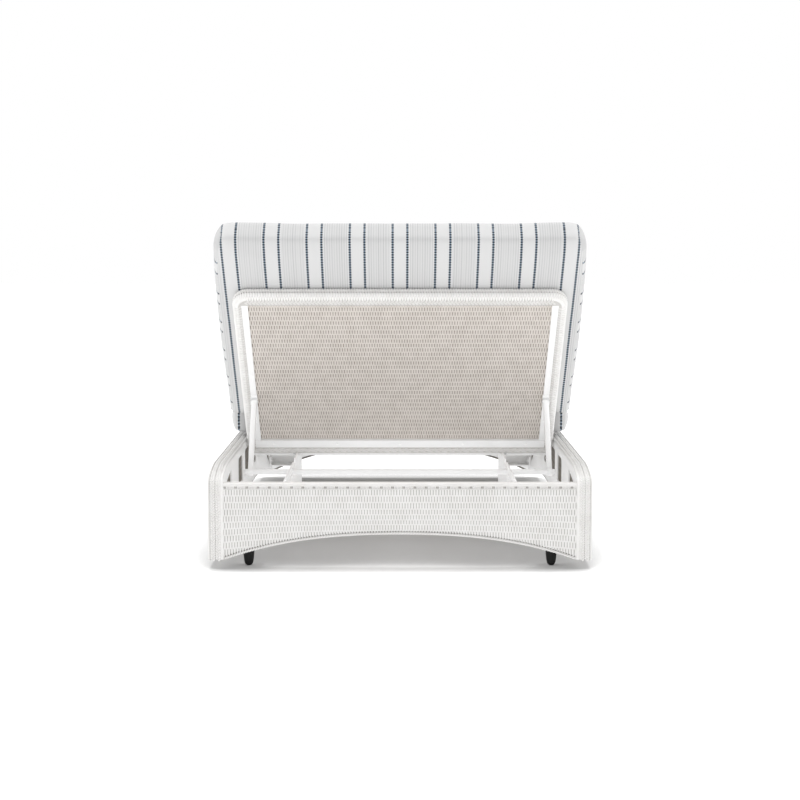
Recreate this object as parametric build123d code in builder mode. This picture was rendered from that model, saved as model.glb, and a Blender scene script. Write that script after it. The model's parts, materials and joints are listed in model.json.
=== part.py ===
from build123d import *
import os
from math import atan2, cos, degrees, hypot, pi, radians, sin, sqrt

# Wide woven chaise lounge: a wicker-skinned metal base, a reclining back held by a prop
# that runs in two slotted racks, and a seat cushion and a back cushion.
# Millimetres. +Z is up, +Y points from the head end to the foot end, the floor is Z = 0.

# Base
base_width = 1190
base_length = 1960
rail_top = 312
head_skirt_top = 270
foot_skirt_top = 308
leg_bottom = 30
skin = 8
rim = 41
fit = 0.3
shoulder_length = 200
shoulder_drop = 46
shoulder_turn = 15
foot_corner = 18
side_arch_top = 115
head_arch_top = 109
foot_arch_top = 140
side_leg = 90
end_leg = 7
arch_knee_along = 0.57
arch_knee_up = 0.74
end_recess = 4
end_depth = 35
end_proud = 1

# Pressed metal frames behind the wicker
sheet = 3
frame_proud = 2
window_bottom = 181
window_top = 275
window_length = 186
window_count = 4
window_ahead = 64
window_round = 18
post = 74
short_window = 161
end_plate = 231
corner_window = 160
corner_window_drop = 22
brace_window_length = 190
brace_window_low = 70
lower_rail = 31
brace_leg = 120
brace_round = 10
end_rail_high = 30
end_rail_low = 34
end_post = 40
corner_post = 36

# Reclining back
back_angle = 46.5
hinge_from_head = 820
hinge_gap = 7
back_length = 805
back_below = 30
back_thickness = 41
back_corner = 42
back_foot_corner = 12
wrap_wall = 6
border_side = 28
border_top = 44
border_bottom = 33
core_wall = 3
core_step = 2
panel = 5
panel_tuck = 10
panel_tuck_top = 20
retainer_side = 20.7
retainer_foot = 38
retainer_proud = 2

# Hinge and prop
running_fit = 0.05
pin_radius = 6
pin_in_back = 52
bush_wall = 2
bush_length = 28
bush_flange = 12
boss_wall = 3
prop_up = 268
prop_out = 34
prop_arm_inset = 40
prop_arm_width = 18
prop_arm_depth = 16
prop_eye = 9
prop_foot_eye = 14
prop_pin_radius = 4
prop_pin_head = 6
prop_pin_head_length = 2.3
prop_bar_radius = 9.5
prop_bar_wall = 1.8
prop_bar_past_arm = 8
cap_length = 4
cap_plug = 12
cap_round = 2
lug_sheet = 2.2
lug_side_gap = 0.3
lug_base = 3
lug_length = 40
lug_cap = 10

# Racks and cross tubes
rack_inset = 187
rack_sheet = 5
rack_flange = 40
rack_below_back = 4
rack_bottom = 112
rack_dip = 12
rack_dip_head = 65
rack_dip_foot = 50
ray_angle = 8
upright_angle = 62
notch_angles = (0, 20, 32, back_angle, 56)
notch_depth = 4
slot_under = 0.4
slot_over = 1.6
slot_spare = 12
mouth_length = 78
tube = 30
tube_wall = 2.5
tube_round = 4
cross_height = 45
bolt_radius = 4
bolt_head_radius = 6.5
bolt_head = 5.3
bolt_length = 20
bolt_play = 0.2
rack_bolt_x = 22
rack_bolt_z = (160, 220)
rack_flange_ends = (130, 250)
cross_bolt_pitch = 18

# Seat frame and deck
seat_after_hinge = 42
deck = 8.2
deck_edge = 6
deck_gap = 0.5

# Corner brackets and feet
foot_height = 62
foot_bottom_radius = 11.5
foot_top_radius = 17
foot_round = 5
head_foot_aside = 75
tail_foot_aside = 102
foot_inset = 68
bracket = 5
bracket_reach = 122
bracket_depth = 62
bracket_flange = 40
bracket_bolt_x = 17
bracket_bolt_far = 60
bracket_bolt_y = 42
bracket_bolt_up = 20
stud_radius = 5
stud_in_foot = 22
stud_above = 13
nut_flats = 17
nut_height = 8

# Retainer screws
screw_radius = 2
screw_head_radius = 4.5
screw_head = 2.2
screw_in_core = 7
screw_play = 0.1
side_screw_past_lug = 100
side_screw_from_head = 75
side_screw_count = 3
foot_screw_inset = 67
foot_screw_count = 5

# Cushions
cushion_overhang = 3
cushion_thickness = 130
cushion_crown = 12
cushion_end_crown = 2
cushion_swell = 13
cushion_bulge = 12
cushion_round = 28
round_steps = 4
long_steps = 8
seat_cushion_after_hinge = 32
seat_cushion_from_foot = 5
back_cushion_top = 957
back_cushion_front_low = 80
back_cushion_rear_low = 122

# Places worked out from the sizes above
half_width = base_width / 2
half_length = base_length / 2
cushion_half = half_width + cushion_overhang
skin_inner = half_width - rim
frame_inner = skin_inner - frame_proud
frame_outer = half_width - skin - fit
frame_inset = skin + fit
hinge_y = hinge_from_head - half_length
hinge_z = rail_top - back_thickness / 2
tilt = radians(back_angle)
back_half = frame_inner - hinge_gap
prop_arm_x = back_half - prop_arm_inset
rack_x = frame_inner - rack_inset
head_foot_x = frame_inner - head_foot_aside
tail_foot_x = frame_inner - tail_foot_aside
back_top = back_length - back_below
back_face = back_thickness / 2
wrap_bottom_top = border_bottom - back_below
wrap_top_bottom = back_top - border_top
wrap_inner = back_half - border_side
core_front = -(back_face - wrap_wall - fit)
panel_front = back_face - panel - 2 * core_wall - core_step
panel_back = panel_front + panel
core_inset = wrap_wall + fit
core_outer = back_half - core_inset
retainer_inner = wrap_inner - fit - retainer_side
retainer_foot_bottom = wrap_bottom_top + fit
retainer_foot_top = retainer_foot_bottom + retainer_foot
core_inner = retainer_inner - core_step
core_foot_top = retainer_foot_top + core_step
core_top_bottom = wrap_top_bottom - core_step
core_head_top = back_top - core_inset
end_skirt_front = half_length - end_recess
end_skirt_back = end_skirt_front - end_depth
end_frame_front = end_skirt_front - skin - fit
end_frame_back = end_skirt_back - end_proud
skirt_half = frame_inner - fit
end_frame_half = frame_inner - fit
end_arch_half = skin_inner - end_leg
side_arch_half = half_length - side_leg
seat_start = hinge_y + seat_after_hinge
seat_end = end_frame_back - fit
seat_top = rail_top - deck - deck_gap
seat_bottom = seat_top - tube
first_window = hinge_y - window_ahead
window_pitch = window_length + post
mid_cross_y = first_window + window_length + post / 2
seat_cross_y = mid_cross_y + 2 * window_pitch
cross_bottom = seat_bottom - cross_height
rack_far = mid_cross_y - tube / 2
rack_top = head_skirt_top - rack_below_back
cross_bolt_mid = (cross_bottom + rack_top) / 2
cross_bolt_z = (cross_bolt_mid - cross_bolt_pitch / 2, cross_bolt_mid + cross_bolt_pitch / 2)
foot_y = half_length - foot_inset
bush_radius = pin_radius + running_fit + bush_wall
prop_radius = hypot(prop_up, prop_out)
prop_lead = degrees(atan2(prop_out, prop_up))


def bar_reach(angle):
    """Distance from the hinge to the prop's bar along the rack's ray, for a back angle."""
    return 2 * prop_radius * cos(radians(angle - prop_lead + ray_angle))


def on_ray(reach, lift=0):
    """A point of the rack's ray in (Y, Z), lifted square to the ray."""
    slope = radians(ray_angle)
    return (
        hinge_y - reach * cos(slope) - lift * sin(slope),
        hinge_z - reach * sin(slope) + lift * cos(slope),
    )


def on_back(up, out):
    """A point beside the back in (Y, Z): up along it from the hinge, out behind it."""
    return (
        hinge_y - up * cos(tilt) - out * sin(tilt),
        hinge_z + up * sin(tilt) - out * cos(tilt),
    )


def plane_x(x):
    """Sketch plane square to X; its sketches are in (Y, Z) and extrude towards +X."""
    return Plane.YZ.offset(x)


def plane_y(y):
    """Sketch plane square to Y; its sketches are in (X, Z) and extrude towards -Y."""
    return Plane.XZ.offset(-y)


def plane_z(z):
    """Sketch plane square to Z; its sketches extrude upwards."""
    return Plane.XY.offset(z)


# The back's own plane: x across, y up along the back from the hinge, z out of its rear face.
back_plane = Plane(
    origin=(0, hinge_y, hinge_z),
    x_dir=(1, 0, 0),
    z_dir=(0, -sin(tilt), -cos(tilt)),
)


def arch_points(half, top, lift):
    """Points of an arched lower edge, flat-topped and steeper towards its legs."""
    low = leg_bottom + lift
    high = top + lift
    knee = (half * arch_knee_along, low + (high - low) * arch_knee_up)
    return [(-half, low), (-knee[0], knee[1]), (0, high), knee, (half, low)]


def side_outline(inset):
    """The side's outline in (Y, Z): a sloping shoulder at the head, an arch between the legs."""
    turn = radians(shoulder_turn)
    tight = (shoulder_drop - shoulder_length * (1 - cos(turn)) / sin(turn)) / (
        cos(turn) - (1 - sin(turn)) * (1 - cos(turn)) / sin(turn)
    )
    wide = (shoulder_length - tight * (1 - sin(turn))) / sin(turn)
    low = leg_bottom + inset
    with BuildSketch() as outline:
        with BuildLine():
            Line((-side_arch_half, low), (-half_length + inset, low))
            leg = Line((-half_length + inset, low), (-half_length + inset, rail_top - shoulder_drop))
            knuckle = JernArc(leg @ 1, (0, 1), tight - inset, shoulder_turn - 90)
            slope = JernArc(knuckle @ 1, knuckle % 1, wide - inset, -shoulder_turn)
            rail = Line(slope @ 1, (half_length - foot_corner, rail_top - inset))
            corner = JernArc(rail @ 1, (1, 0), foot_corner - inset, -90)
            Polyline(corner @ 1, (half_length - inset, low), (side_arch_half, low))
            Spline(*arch_points(side_arch_half, side_arch_top, inset))
        make_face()
    return outline.sketch


def end_outline(half, top, arch_top, lift):
    """An end skirt's outline in (X, Z), with its arched lower edge lifted."""
    low = leg_bottom + lift
    with BuildSketch() as outline:
        with BuildLine():
            Polyline((-end_arch_half, low), (-half, low), (-half, top), (0, top))
            mirror(about=Plane.YZ)
            Spline(*arch_points(end_arch_half, arch_top, lift))
        make_face()
    return outline.sketch


def end_openings(top, arch_top, grow=0):
    """The openings of an end frame between its rails and posts, in (X, Z), widened by grow."""
    wide = end_frame_half - corner_post + grow
    high = top - frame_inset - end_rail_high + grow
    post_x = rack_x + rack_bolt_x
    with BuildSketch() as openings:
        add(end_outline(end_frame_half, high, arch_top, frame_inset + end_rail_low - grow))
        with Locations(*[(post_x * step / 2, 0) for step in range(-2, 3)]):
            Rectangle(end_post - 2 * grow, 2 * rail_top, mode=Mode.SUBTRACT)
        Rectangle(2 * wide, 2 * rail_top, mode=Mode.INTERSECT)
    return openings.sketch


def side_openings():
    """The windows of a side frame and the triangles over its arch, in (Y, Z)."""
    middle = (window_bottom + window_top) / 2
    tall = window_top - window_bottom
    short_start = first_window - post - short_window
    corner_end = short_start - end_plate
    corner_start = corner_end - corner_window
    brace_far = half_length - brace_leg
    brace_high = window_bottom - lower_rail
    with BuildSketch() as braces:
        with BuildLine():
            Polyline(
                (brace_far, brace_window_low),
                (brace_far, brace_high),
                (brace_far - brace_window_length, brace_high),
                close=True,
            )
        make_face()
        fillet(braces.vertices(), brace_round)
        mirror(about=Plane.YZ)
    with BuildSketch() as corner:
        with BuildLine():
            Polyline(
                (corner_end, window_bottom),
                (corner_end, window_top),
                (corner_start, window_top - corner_window_drop),
                (corner_start, window_bottom),
                close=True,
            )
        make_face()
        fillet(corner.vertices(), brace_round)
    with BuildSketch() as openings:
        for step in range(window_count):
            with Locations((first_window + step * window_pitch + window_length / 2, middle)):
                RectangleRounded(window_length, tall, window_round)
        with Locations((short_start + short_window / 2, middle)):
            RectangleRounded(short_window, tall, window_round)
        add(corner.sketch)
        add(braces.sketch)
    return openings.sketch


def grown(openings):
    """Openings widened by the sheet's thickness on every side."""
    with BuildSketch() as wider:
        add(openings)
        offset(amount=sheet)
    return wider.sketch


def bracket_bolts_at():
    """Places of the corner brackets' bolts into an end frame, in (X, Z)."""
    high = foot_height + bracket_bolt_up
    across = (frame_inner - bracket_bolt_x, frame_inner - bracket_bolt_far)
    return [(side * x, high) for side in (-1, 1) for x in across]


def rack_bolts_at(heights):
    """Places of the racks' flange bolts at the given heights, in (X, Z)."""
    return [(side * (rack_x + rack_bolt_x), z) for side in (-1, 1) for z in heights]


# Right side frame: a pressed tray with windows, a boss for the hinge bush and bolt holes
with BuildPart() as side_frame_right:
    with BuildSketch(plane_x(frame_inner)):
        add(side_outline(frame_inset))
        add(side_openings(), mode=Mode.SUBTRACT)
    extrude(amount=frame_outer - frame_inner)
    with BuildSketch(plane_x(frame_inner + sheet)):
        add(side_outline(frame_inset + sheet))
        add(grown(side_openings()), mode=Mode.SUBTRACT)
    extrude(amount=frame_outer - frame_inner, mode=Mode.SUBTRACT)
    with BuildSketch(plane_x(frame_inner)):
        with Locations((hinge_y, hinge_z)):
            Circle(bush_radius + running_fit + boss_wall)
    extrude(amount=bush_length)
    with BuildSketch(plane_x(frame_inner)):
        with Locations((hinge_y, hinge_z)):
            Circle(bush_radius + running_fit)
        bolt_y = end_frame_back - bracket_bolt_y
        with Locations((-bolt_y, foot_height + bracket_bolt_up), (bolt_y, foot_height + bracket_bolt_up)):
            Circle(bolt_radius + bolt_play)
    extrude(amount=bush_length, mode=Mode.SUBTRACT)

with BuildPart() as side_frame_left:
    mirror(side_frame_right.part, about=Plane.YZ)

# Head and foot frames: pressed trays, arched below, open towards their skirts
end_frame_depth = end_frame_front - end_frame_back
tray_half = end_frame_half - sheet
tray_lift = frame_inset + sheet

with BuildPart() as head_frame:
    with BuildSketch(plane_y(-end_frame_back)):
        add(end_outline(end_frame_half, head_skirt_top - frame_inset, head_arch_top, frame_inset))
        add(end_openings(head_skirt_top, head_arch_top), mode=Mode.SUBTRACT)
    extrude(amount=end_frame_depth)
    with BuildSketch(plane_y(-end_frame_back - sheet)):
        add(end_outline(tray_half, head_skirt_top - tray_lift, head_arch_top, tray_lift))
        add(end_openings(head_skirt_top, head_arch_top, sheet), mode=Mode.SUBTRACT)
    extrude(amount=end_frame_depth, mode=Mode.SUBTRACT)
    with BuildSketch(plane_y(-end_frame_back)):
        with Locations(*bracket_bolts_at()):
            Circle(bolt_radius + bolt_play)
        with Locations(*rack_bolts_at(rack_bolt_z)):
            Circle(bolt_radius + bolt_play)
    extrude(amount=sheet, mode=Mode.SUBTRACT)

with BuildPart() as foot_frame:
    with BuildSketch(plane_y(end_frame_front)):
        add(end_outline(end_frame_half, foot_skirt_top - frame_inset, foot_arch_top, frame_inset))
        add(end_openings(foot_skirt_top, foot_arch_top), mode=Mode.SUBTRACT)
    extrude(amount=end_frame_depth)
    with BuildSketch(plane_y(end_frame_front)):
        add(end_outline(tray_half, foot_skirt_top - tray_lift, foot_arch_top, tray_lift))
        add(end_openings(foot_skirt_top, foot_arch_top, sheet), mode=Mode.SUBTRACT)
    extrude(amount=end_frame_depth - sheet, mode=Mode.SUBTRACT)
    with BuildSketch(plane_y(end_frame_back + sheet)):
        with Locations(*bracket_bolts_at()):
            Circle(bolt_radius + bolt_play)
    extrude(amount=sheet, mode=Mode.SUBTRACT)

# Woven skins: the sides wrap rails and leg faces, the end skirts wrap their frames' edges
with BuildPart() as side_skin_right:
    with BuildSketch(plane_x(skin_inner)):
        add(side_outline(0))
    extrude(amount=rim)
    with BuildSketch(plane_x(skin_inner)):
        add(side_outline(skin))
    extrude(amount=rim - skin, mode=Mode.SUBTRACT)

with BuildPart() as side_skin_left:
    mirror(side_skin_right.part, about=Plane.YZ)

with BuildPart() as head_skirt:
    with BuildSketch(plane_y(-end_skirt_back)):
        add(end_outline(skirt_half, head_skirt_top, head_arch_top, 0))
    extrude(amount=end_depth)
    with BuildSketch(plane_y(-end_skirt_back)):
        add(end_outline(half_width, head_skirt_top - skin, head_arch_top, skin))
    extrude(amount=end_depth - skin, mode=Mode.SUBTRACT)

with BuildPart() as foot_skirt:
    with BuildSketch(plane_y(end_skirt_front)):
        add(end_outline(skirt_half, foot_skirt_top, foot_arch_top, 0))
    extrude(amount=end_depth)
    with BuildSketch(plane_y(end_skirt_front - skin)):
        add(end_outline(half_width, foot_skirt_top - skin, foot_arch_top, skin))
    extrude(amount=end_depth - skin, mode=Mode.SUBTRACT)

# Cross tubes between the side frames
with BuildPart() as mid_cross_tube:
    with BuildSketch(plane_x(-frame_inner)):
        with Locations((mid_cross_y, cross_bottom + cross_height / 2)):
            RectangleRounded(tube, cross_height, tube_round)
            Rectangle(tube - 2 * tube_wall, cross_height - 2 * tube_wall, mode=Mode.SUBTRACT)
    extrude(amount=2 * frame_inner)
    with BuildSketch(plane_y(rack_far + tube / 2)):
        with Locations(*rack_bolts_at(cross_bolt_z)):
            Circle(bolt_radius + bolt_play)
    extrude(amount=tube / 2, mode=Mode.SUBTRACT)

with BuildPart() as seat_cross_tube:
    with BuildSketch(plane_x(-frame_inner)):
        with Locations((seat_cross_y, cross_bottom + cross_height / 2)):
            RectangleRounded(tube, cross_height, tube_round)
            Rectangle(tube - 2 * tube_wall, cross_height - 2 * tube_wall, mode=Mode.SUBTRACT)
    extrude(amount=2 * frame_inner)


def seat_tube_section():
    """Square tube section of the seat frame, about its own centre."""
    with BuildSketch() as section:
        Rectangle(tube, tube)
        Rectangle(tube - 2 * tube_wall, tube - 2 * tube_wall, mode=Mode.SUBTRACT)
    return section.sketch


# Seat frame: two long rails with a head rail, a foot rail and a slat between them
with BuildPart() as seat_rail_right:
    with BuildSketch(plane_y(seat_end)):
        with Locations((end_frame_half - tube / 2, seat_bottom + tube / 2)):
            add(seat_tube_section())
    extrude(amount=seat_end - seat_start)

with BuildPart() as seat_rail_left:
    mirror(seat_rail_right.part, about=Plane.YZ)

seat_bar_half = end_frame_half - tube

with BuildPart() as seat_rail_head:
    with BuildSketch(plane_x(-seat_bar_half)):
        with Locations((seat_start + tube / 2, seat_bottom + tube / 2)):
            add(seat_tube_section())
    extrude(amount=2 * seat_bar_half)

with BuildPart() as seat_rail_foot:
    with BuildSketch(plane_x(-seat_bar_half)):
        with Locations((seat_end - tube / 2, seat_bottom + tube / 2)):
            add(seat_tube_section())
    extrude(amount=2 * seat_bar_half)

with BuildPart() as seat_slat:
    with BuildSketch(plane_x(-seat_bar_half)):
        with Locations(((seat_start + seat_end) / 2, seat_bottom + tube / 2)):
            add(seat_tube_section())
    extrude(amount=2 * seat_bar_half)

with BuildPart() as seat_deck:
    with BuildSketch(plane_z(seat_top)):
        with Locations((0, (seat_start + seat_end) / 2)):
            Rectangle(2 * (end_frame_half - deck_edge), seat_end - seat_start - 2 * deck_edge)
    extrude(amount=deck)

# Racks: plates with end flanges and a sloping slot with notches under it, open at its upper end
bar_clear = prop_bar_radius + slot_under
slot_height = 2 * prop_bar_radius + slot_under + slot_over
slot_lift = (slot_over - slot_under) / 2
slot_near = bar_reach(upright_angle) - slot_spare
slot_far = bar_reach(0) + slot_spare

with BuildPart() as rack_right:
    with BuildSketch(plane_x(rack_x - rack_sheet / 2)):
        with BuildLine():
            Polyline(
                (-end_frame_back, rack_bottom),
                (rack_far, rack_bottom),
                (rack_far, rack_top),
                (hinge_y + rack_dip_foot, rack_top),
                (hinge_y + rack_dip_foot, rack_top - rack_dip),
                (hinge_y - rack_dip_head, rack_top - rack_dip),
                (hinge_y - rack_dip_head, rack_top),
                (-end_frame_back, rack_top),
                close=True,
            )
        make_face()
        with Locations(on_ray((slot_near + slot_far) / 2, slot_lift)):
            SlotCenterToCenter(slot_far - slot_near, slot_height, ray_angle, mode=Mode.SUBTRACT)
        with Locations(*[on_ray(bar_reach(angle), -notch_depth) for angle in notch_angles]):
            Circle(bar_clear, mode=Mode.SUBTRACT)
        mouth = on_ray(slot_near)
        with Locations((mouth[0] + slot_height / 2 - mouth_length / 2, mouth[1])):
            Rectangle(mouth_length, rack_top, align=(Align.CENTER, Align.MIN), mode=Mode.SUBTRACT)
    extrude(amount=rack_sheet)
    flange_low, flange_high = rack_flange_ends
    with BuildSketch(plane_y(-end_frame_back + rack_sheet)):
        with Locations((rack_x - rack_sheet / 2, flange_low)):
            Rectangle(rack_flange, flange_high - flange_low, align=Align.MIN)
    extrude(amount=rack_sheet)
    with BuildSketch(plane_y(rack_far)):
        with Locations((rack_x - rack_sheet / 2, cross_bottom)):
            Rectangle(rack_flange, rack_top - cross_bottom, align=Align.MIN)
    extrude(amount=rack_sheet)
    with BuildSketch(plane_y(-end_frame_back + rack_sheet)):
        with Locations(*[(rack_x + rack_bolt_x, z) for z in rack_bolt_z]):
            Circle(bolt_radius + bolt_play)
    extrude(amount=rack_sheet, mode=Mode.SUBTRACT)
    with BuildSketch(plane_y(rack_far)):
        with Locations(*[(rack_x + rack_bolt_x, z) for z in cross_bolt_z]):
            Circle(bolt_radius + bolt_play)
    extrude(amount=rack_sheet, mode=Mode.SUBTRACT)

with BuildPart() as rack_left:
    mirror(rack_right.part, about=Plane.YZ)

with BuildPart() as rack_bolts:
    with BuildSketch(plane_y(-end_frame_back + rack_sheet + bolt_head)):
        with Locations(*rack_bolts_at(rack_bolt_z)):
            RegularPolygon(bolt_head_radius, 6)
    extrude(amount=bolt_head)
    with BuildSketch(plane_y(-end_frame_back + rack_sheet)):
        with Locations(*rack_bolts_at(rack_bolt_z)):
            Circle(bolt_radius)
    extrude(amount=bolt_length)
    with BuildSketch(plane_y(rack_far - rack_sheet)):
        with Locations(*rack_bolts_at(cross_bolt_z)):
            RegularPolygon(bolt_head_radius, 6)
    extrude(amount=bolt_head)
    with BuildSketch(plane_y(rack_far - rack_sheet + bolt_length)):
        with Locations(*rack_bolts_at(cross_bolt_z)):
            Circle(bolt_radius)
    extrude(amount=bolt_length)


def corner_bracket(side, end, foot_x):
    """Corner bracket: a plate for the foot with a flange on the side frame and one on the end frame."""
    across = side * (frame_inner - bracket_reach / 2)
    along = end * (end_frame_back - bracket_depth / 2)
    bolt_high = foot_height + bracket_bolt_up
    with BuildPart() as corner:
        with BuildSketch(plane_z(foot_height)):
            with Locations((across, along)):
                Rectangle(bracket_reach, bracket_depth)
        extrude(amount=bracket)
        with BuildSketch(plane_z(foot_height)):
            with Locations((side * (frame_inner - bracket / 2), along)):
                Rectangle(bracket, bracket_depth)
            with Locations((across, end * (end_frame_back - bracket / 2))):
                Rectangle(bracket_reach, bracket)
        extrude(amount=bracket_flange)
        with Locations((side * foot_x, end * foot_y, foot_height)):
            Cylinder(stud_radius + running_fit, 3 * bracket, mode=Mode.SUBTRACT)
        with BuildSketch(plane_x(side * (frame_inner - bracket / 2))):
            with Locations((end * (end_frame_back - bracket_bolt_y), bolt_high)):
                Circle(bolt_radius + bolt_play)
        extrude(amount=bracket, both=True, mode=Mode.SUBTRACT)
        with BuildSketch(plane_y(end * (end_frame_back - bracket / 2))):
            with Locations(*[place for place in bracket_bolts_at() if place[0] * side > 0]):
                Circle(bolt_radius + bolt_play)
        extrude(amount=bracket, both=True, mode=Mode.SUBTRACT)
    return corner


def tapered_foot(side, end, foot_x):
    """Tapered foot with a rounded lower edge and a bore for its stud."""
    with BuildPart() as foot:
        with Locations((side * foot_x, end * foot_y, 0)):
            Cone(
                foot_bottom_radius,
                foot_top_radius,
                foot_height,
                align=(Align.CENTER, Align.CENTER, Align.MIN),
            )
        fillet(foot.edges().sort_by(Axis.Z)[0], foot_round)
        with Locations((side * foot_x, end * foot_y, foot_height)):
            Cylinder(stud_radius + running_fit, 2 * stud_in_foot, mode=Mode.SUBTRACT)
    return foot


corners = {
    "head_left": (-1, -1, head_foot_x),
    "head_right": (1, -1, head_foot_x),
    "foot_left": (-1, 1, tail_foot_x),
    "foot_right": (1, 1, tail_foot_x),
}
corner_brackets = {f"bracket_{name}": corner_bracket(*place) for name, place in corners.items()}
feet = {f"leg_tip_{name}": tapered_foot(*place) for name, place in corners.items()}
foot_places = [(side * x, end * foot_y) for side, end, x in corners.values()]

with BuildPart() as foot_studs:
    with BuildSketch(plane_z(foot_height - stud_in_foot)):
        with Locations(*foot_places):
            Circle(stud_radius)
    extrude(amount=stud_in_foot + bracket + stud_above)

with BuildPart() as foot_nuts:
    with BuildSketch(plane_z(foot_height + bracket)):
        with Locations(*foot_places):
            RegularPolygon(nut_flats / 2, 6, major_radius=False)
            Circle(stud_radius + running_fit, mode=Mode.SUBTRACT)
    extrude(amount=nut_height)

with BuildPart() as bracket_bolts:
    for end in (-1, 1):
        inner = end * (end_frame_back - bracket)
        with BuildSketch(plane_y(inner)):
            with Locations(*bracket_bolts_at()):
                RegularPolygon(bolt_head_radius, 6)
        extrude(amount=end * bolt_head)
        with BuildSketch(plane_y(inner)):
            with Locations(*bracket_bolts_at()):
                Circle(bolt_radius)
        extrude(amount=-end * bolt_length)
    bolt_y = end_frame_back - bracket_bolt_y
    bolt_z = foot_height + bracket_bolt_up
    for side in (-1, 1):
        inner = side * (frame_inner - bracket)
        with BuildSketch(plane_x(inner)):
            with Locations((-bolt_y, bolt_z), (bolt_y, bolt_z)):
                RegularPolygon(bolt_head_radius, 6)
        extrude(amount=-side * bolt_head)
        with BuildSketch(plane_x(inner)):
            with Locations((-bolt_y, bolt_z), (bolt_y, bolt_z)):
                Circle(bolt_radius)
        extrude(amount=side * bolt_length)

# Hinge: flanged bushes in the side frames, pins held in the back's foot channel
with BuildPart() as hinge_bush_right:
    with BuildSketch(plane_x(frame_inner)):
        with Locations((hinge_y, hinge_z)):
            Circle(bush_radius)
    extrude(amount=bush_length)
    with BuildSketch(plane_x(back_half + fit)):
        with Locations((hinge_y, hinge_z)):
            Circle(bush_flange)
    extrude(amount=hinge_gap - fit)
    with BuildSketch(plane_x(back_half)):
        with Locations((hinge_y, hinge_z)):
            Circle(pin_radius + running_fit)
    extrude(amount=hinge_gap + bush_length, mode=Mode.SUBTRACT)

with BuildPart() as hinge_bush_left:
    mirror(hinge_bush_right.part, about=Plane.YZ)

with BuildPart() as hinge_pin_right:
    with BuildSketch(plane_x(core_outer - pin_in_back)):
        with Locations((hinge_y, hinge_z)):
            Circle(pin_radius)
    extrude(amount=pin_in_back + core_inset + hinge_gap + bush_length)

with BuildPart() as hinge_pin_left:
    mirror(hinge_pin_right.part, about=Plane.YZ)

# Back: a core of four channels
screw_low = (retainer_foot_top + prop_up - lug_length / 2) / 2
screw_first = prop_up + lug_length / 2 + side_screw_past_lug
screw_step = (wrap_top_bottom - side_screw_from_head - screw_first) / (side_screw_count - 1)
side_screws = [screw_low] + [screw_first + step * screw_step for step in range(side_screw_count)]
foot_span = wrap_inner - foot_screw_inset
foot_screws = [foot_span * (2 * step / (foot_screw_count - 1) - 1) for step in range(foot_screw_count)]
screw_places = [(s * (retainer_inner + retainer_side / 2), up) for s in (-1, 1) for up in side_screws]
screw_places += [(x, (retainer_foot_bottom + retainer_foot_top) / 2) for x in foot_screws]
core_depth = panel_front - core_front

with BuildPart() as core_foot:
    with BuildSketch(back_plane.offset(core_front)):
        with Locations((0, core_inset - back_below)):
            Rectangle(
                2 * core_outer,
                core_foot_top - core_inset + back_below,
                align=(Align.CENTER, Align.MIN),
            )
    extrude(amount=core_depth)
    with BuildSketch(back_plane.offset(core_front)):
        with Locations((0, core_inset - back_below + core_wall)):
            Rectangle(
                2 * (core_outer - pin_in_back - core_wall),
                core_foot_top - core_inset + back_below - 2 * core_wall,
                align=(Align.CENTER, Align.MIN),
            )
    extrude(amount=core_depth - core_wall, mode=Mode.SUBTRACT)
    for side in (-1, 1):
        with BuildSketch(plane_x(side * core_outer)):
            with Locations((hinge_y, hinge_z)):
                Circle(pin_radius + running_fit)
        extrude(amount=-side * pin_in_back, mode=Mode.SUBTRACT)
    with BuildSketch(back_plane.offset(panel_front)):
        with Locations(*screw_places):
            Circle(screw_radius + screw_play)
    extrude(amount=-screw_in_core, mode=Mode.SUBTRACT)

with BuildPart() as core_right:
    with BuildSketch(back_plane.offset(core_front)):
        with Locations((core_inner, core_foot_top)):
            Rectangle(core_outer - core_inner, core_top_bottom - core_foot_top, align=Align.MIN)
    extrude(amount=core_depth)
    with BuildSketch(back_plane.offset(core_front)):
        with Locations((core_inner + core_wall, core_foot_top)):
            Rectangle(
                core_outer - core_inner - 2 * core_wall,
                core_top_bottom - core_foot_top,
                align=Align.MIN,
            )
    extrude(amount=core_depth - core_wall, mode=Mode.SUBTRACT)
    with BuildSketch(back_plane.offset(panel_front)):
        with Locations(*screw_places):
            Circle(screw_radius + screw_play)
    extrude(amount=-screw_in_core, mode=Mode.SUBTRACT)

with BuildPart() as core_left:
    mirror(core_right.part, about=Plane.YZ)

with BuildPart() as core_head:
    with BuildSketch(back_plane.offset(core_front)) as core_head_face:
        with Locations((0, core_top_bottom)):
            Rectangle(
                2 * core_outer, core_head_top - core_top_bottom, align=(Align.CENTER, Align.MIN)
            )
        fillet(core_head_face.vertices().group_by(Axis.Y)[-1], back_corner - core_inset)
    extrude(amount=core_depth)
    with BuildSketch(back_plane.offset(core_front)):
        add(core_head_face.sketch_local)
        offset(amount=-core_wall)
    extrude(amount=core_depth - core_wall, mode=Mode.SUBTRACT)

# Woven wrap round the core: open channels, rounded at the head corners
with BuildPart() as wrap_head:
    with BuildSketch(back_plane.offset(-back_face)) as wrap_head_face:
        with Locations((0, wrap_top_bottom)):
            Rectangle(2 * back_half, border_top, align=(Align.CENTER, Align.MIN))
        fillet(wrap_head_face.vertices().group_by(Axis.Y)[-1], back_corner)
    extrude(amount=back_thickness)
    with BuildSketch(back_plane.offset(wrap_wall - back_face)) as wrap_head_hollow:
        with Locations((0, wrap_top_bottom)):
            Rectangle(
                2 * (back_half - wrap_wall),
                border_top - wrap_wall,
                align=(Align.CENTER, Align.MIN),
            )
        fillet(wrap_head_hollow.vertices().group_by(Axis.Y)[-1], back_corner - wrap_wall)
    extrude(amount=back_thickness - 2 * wrap_wall, mode=Mode.SUBTRACT)

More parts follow.
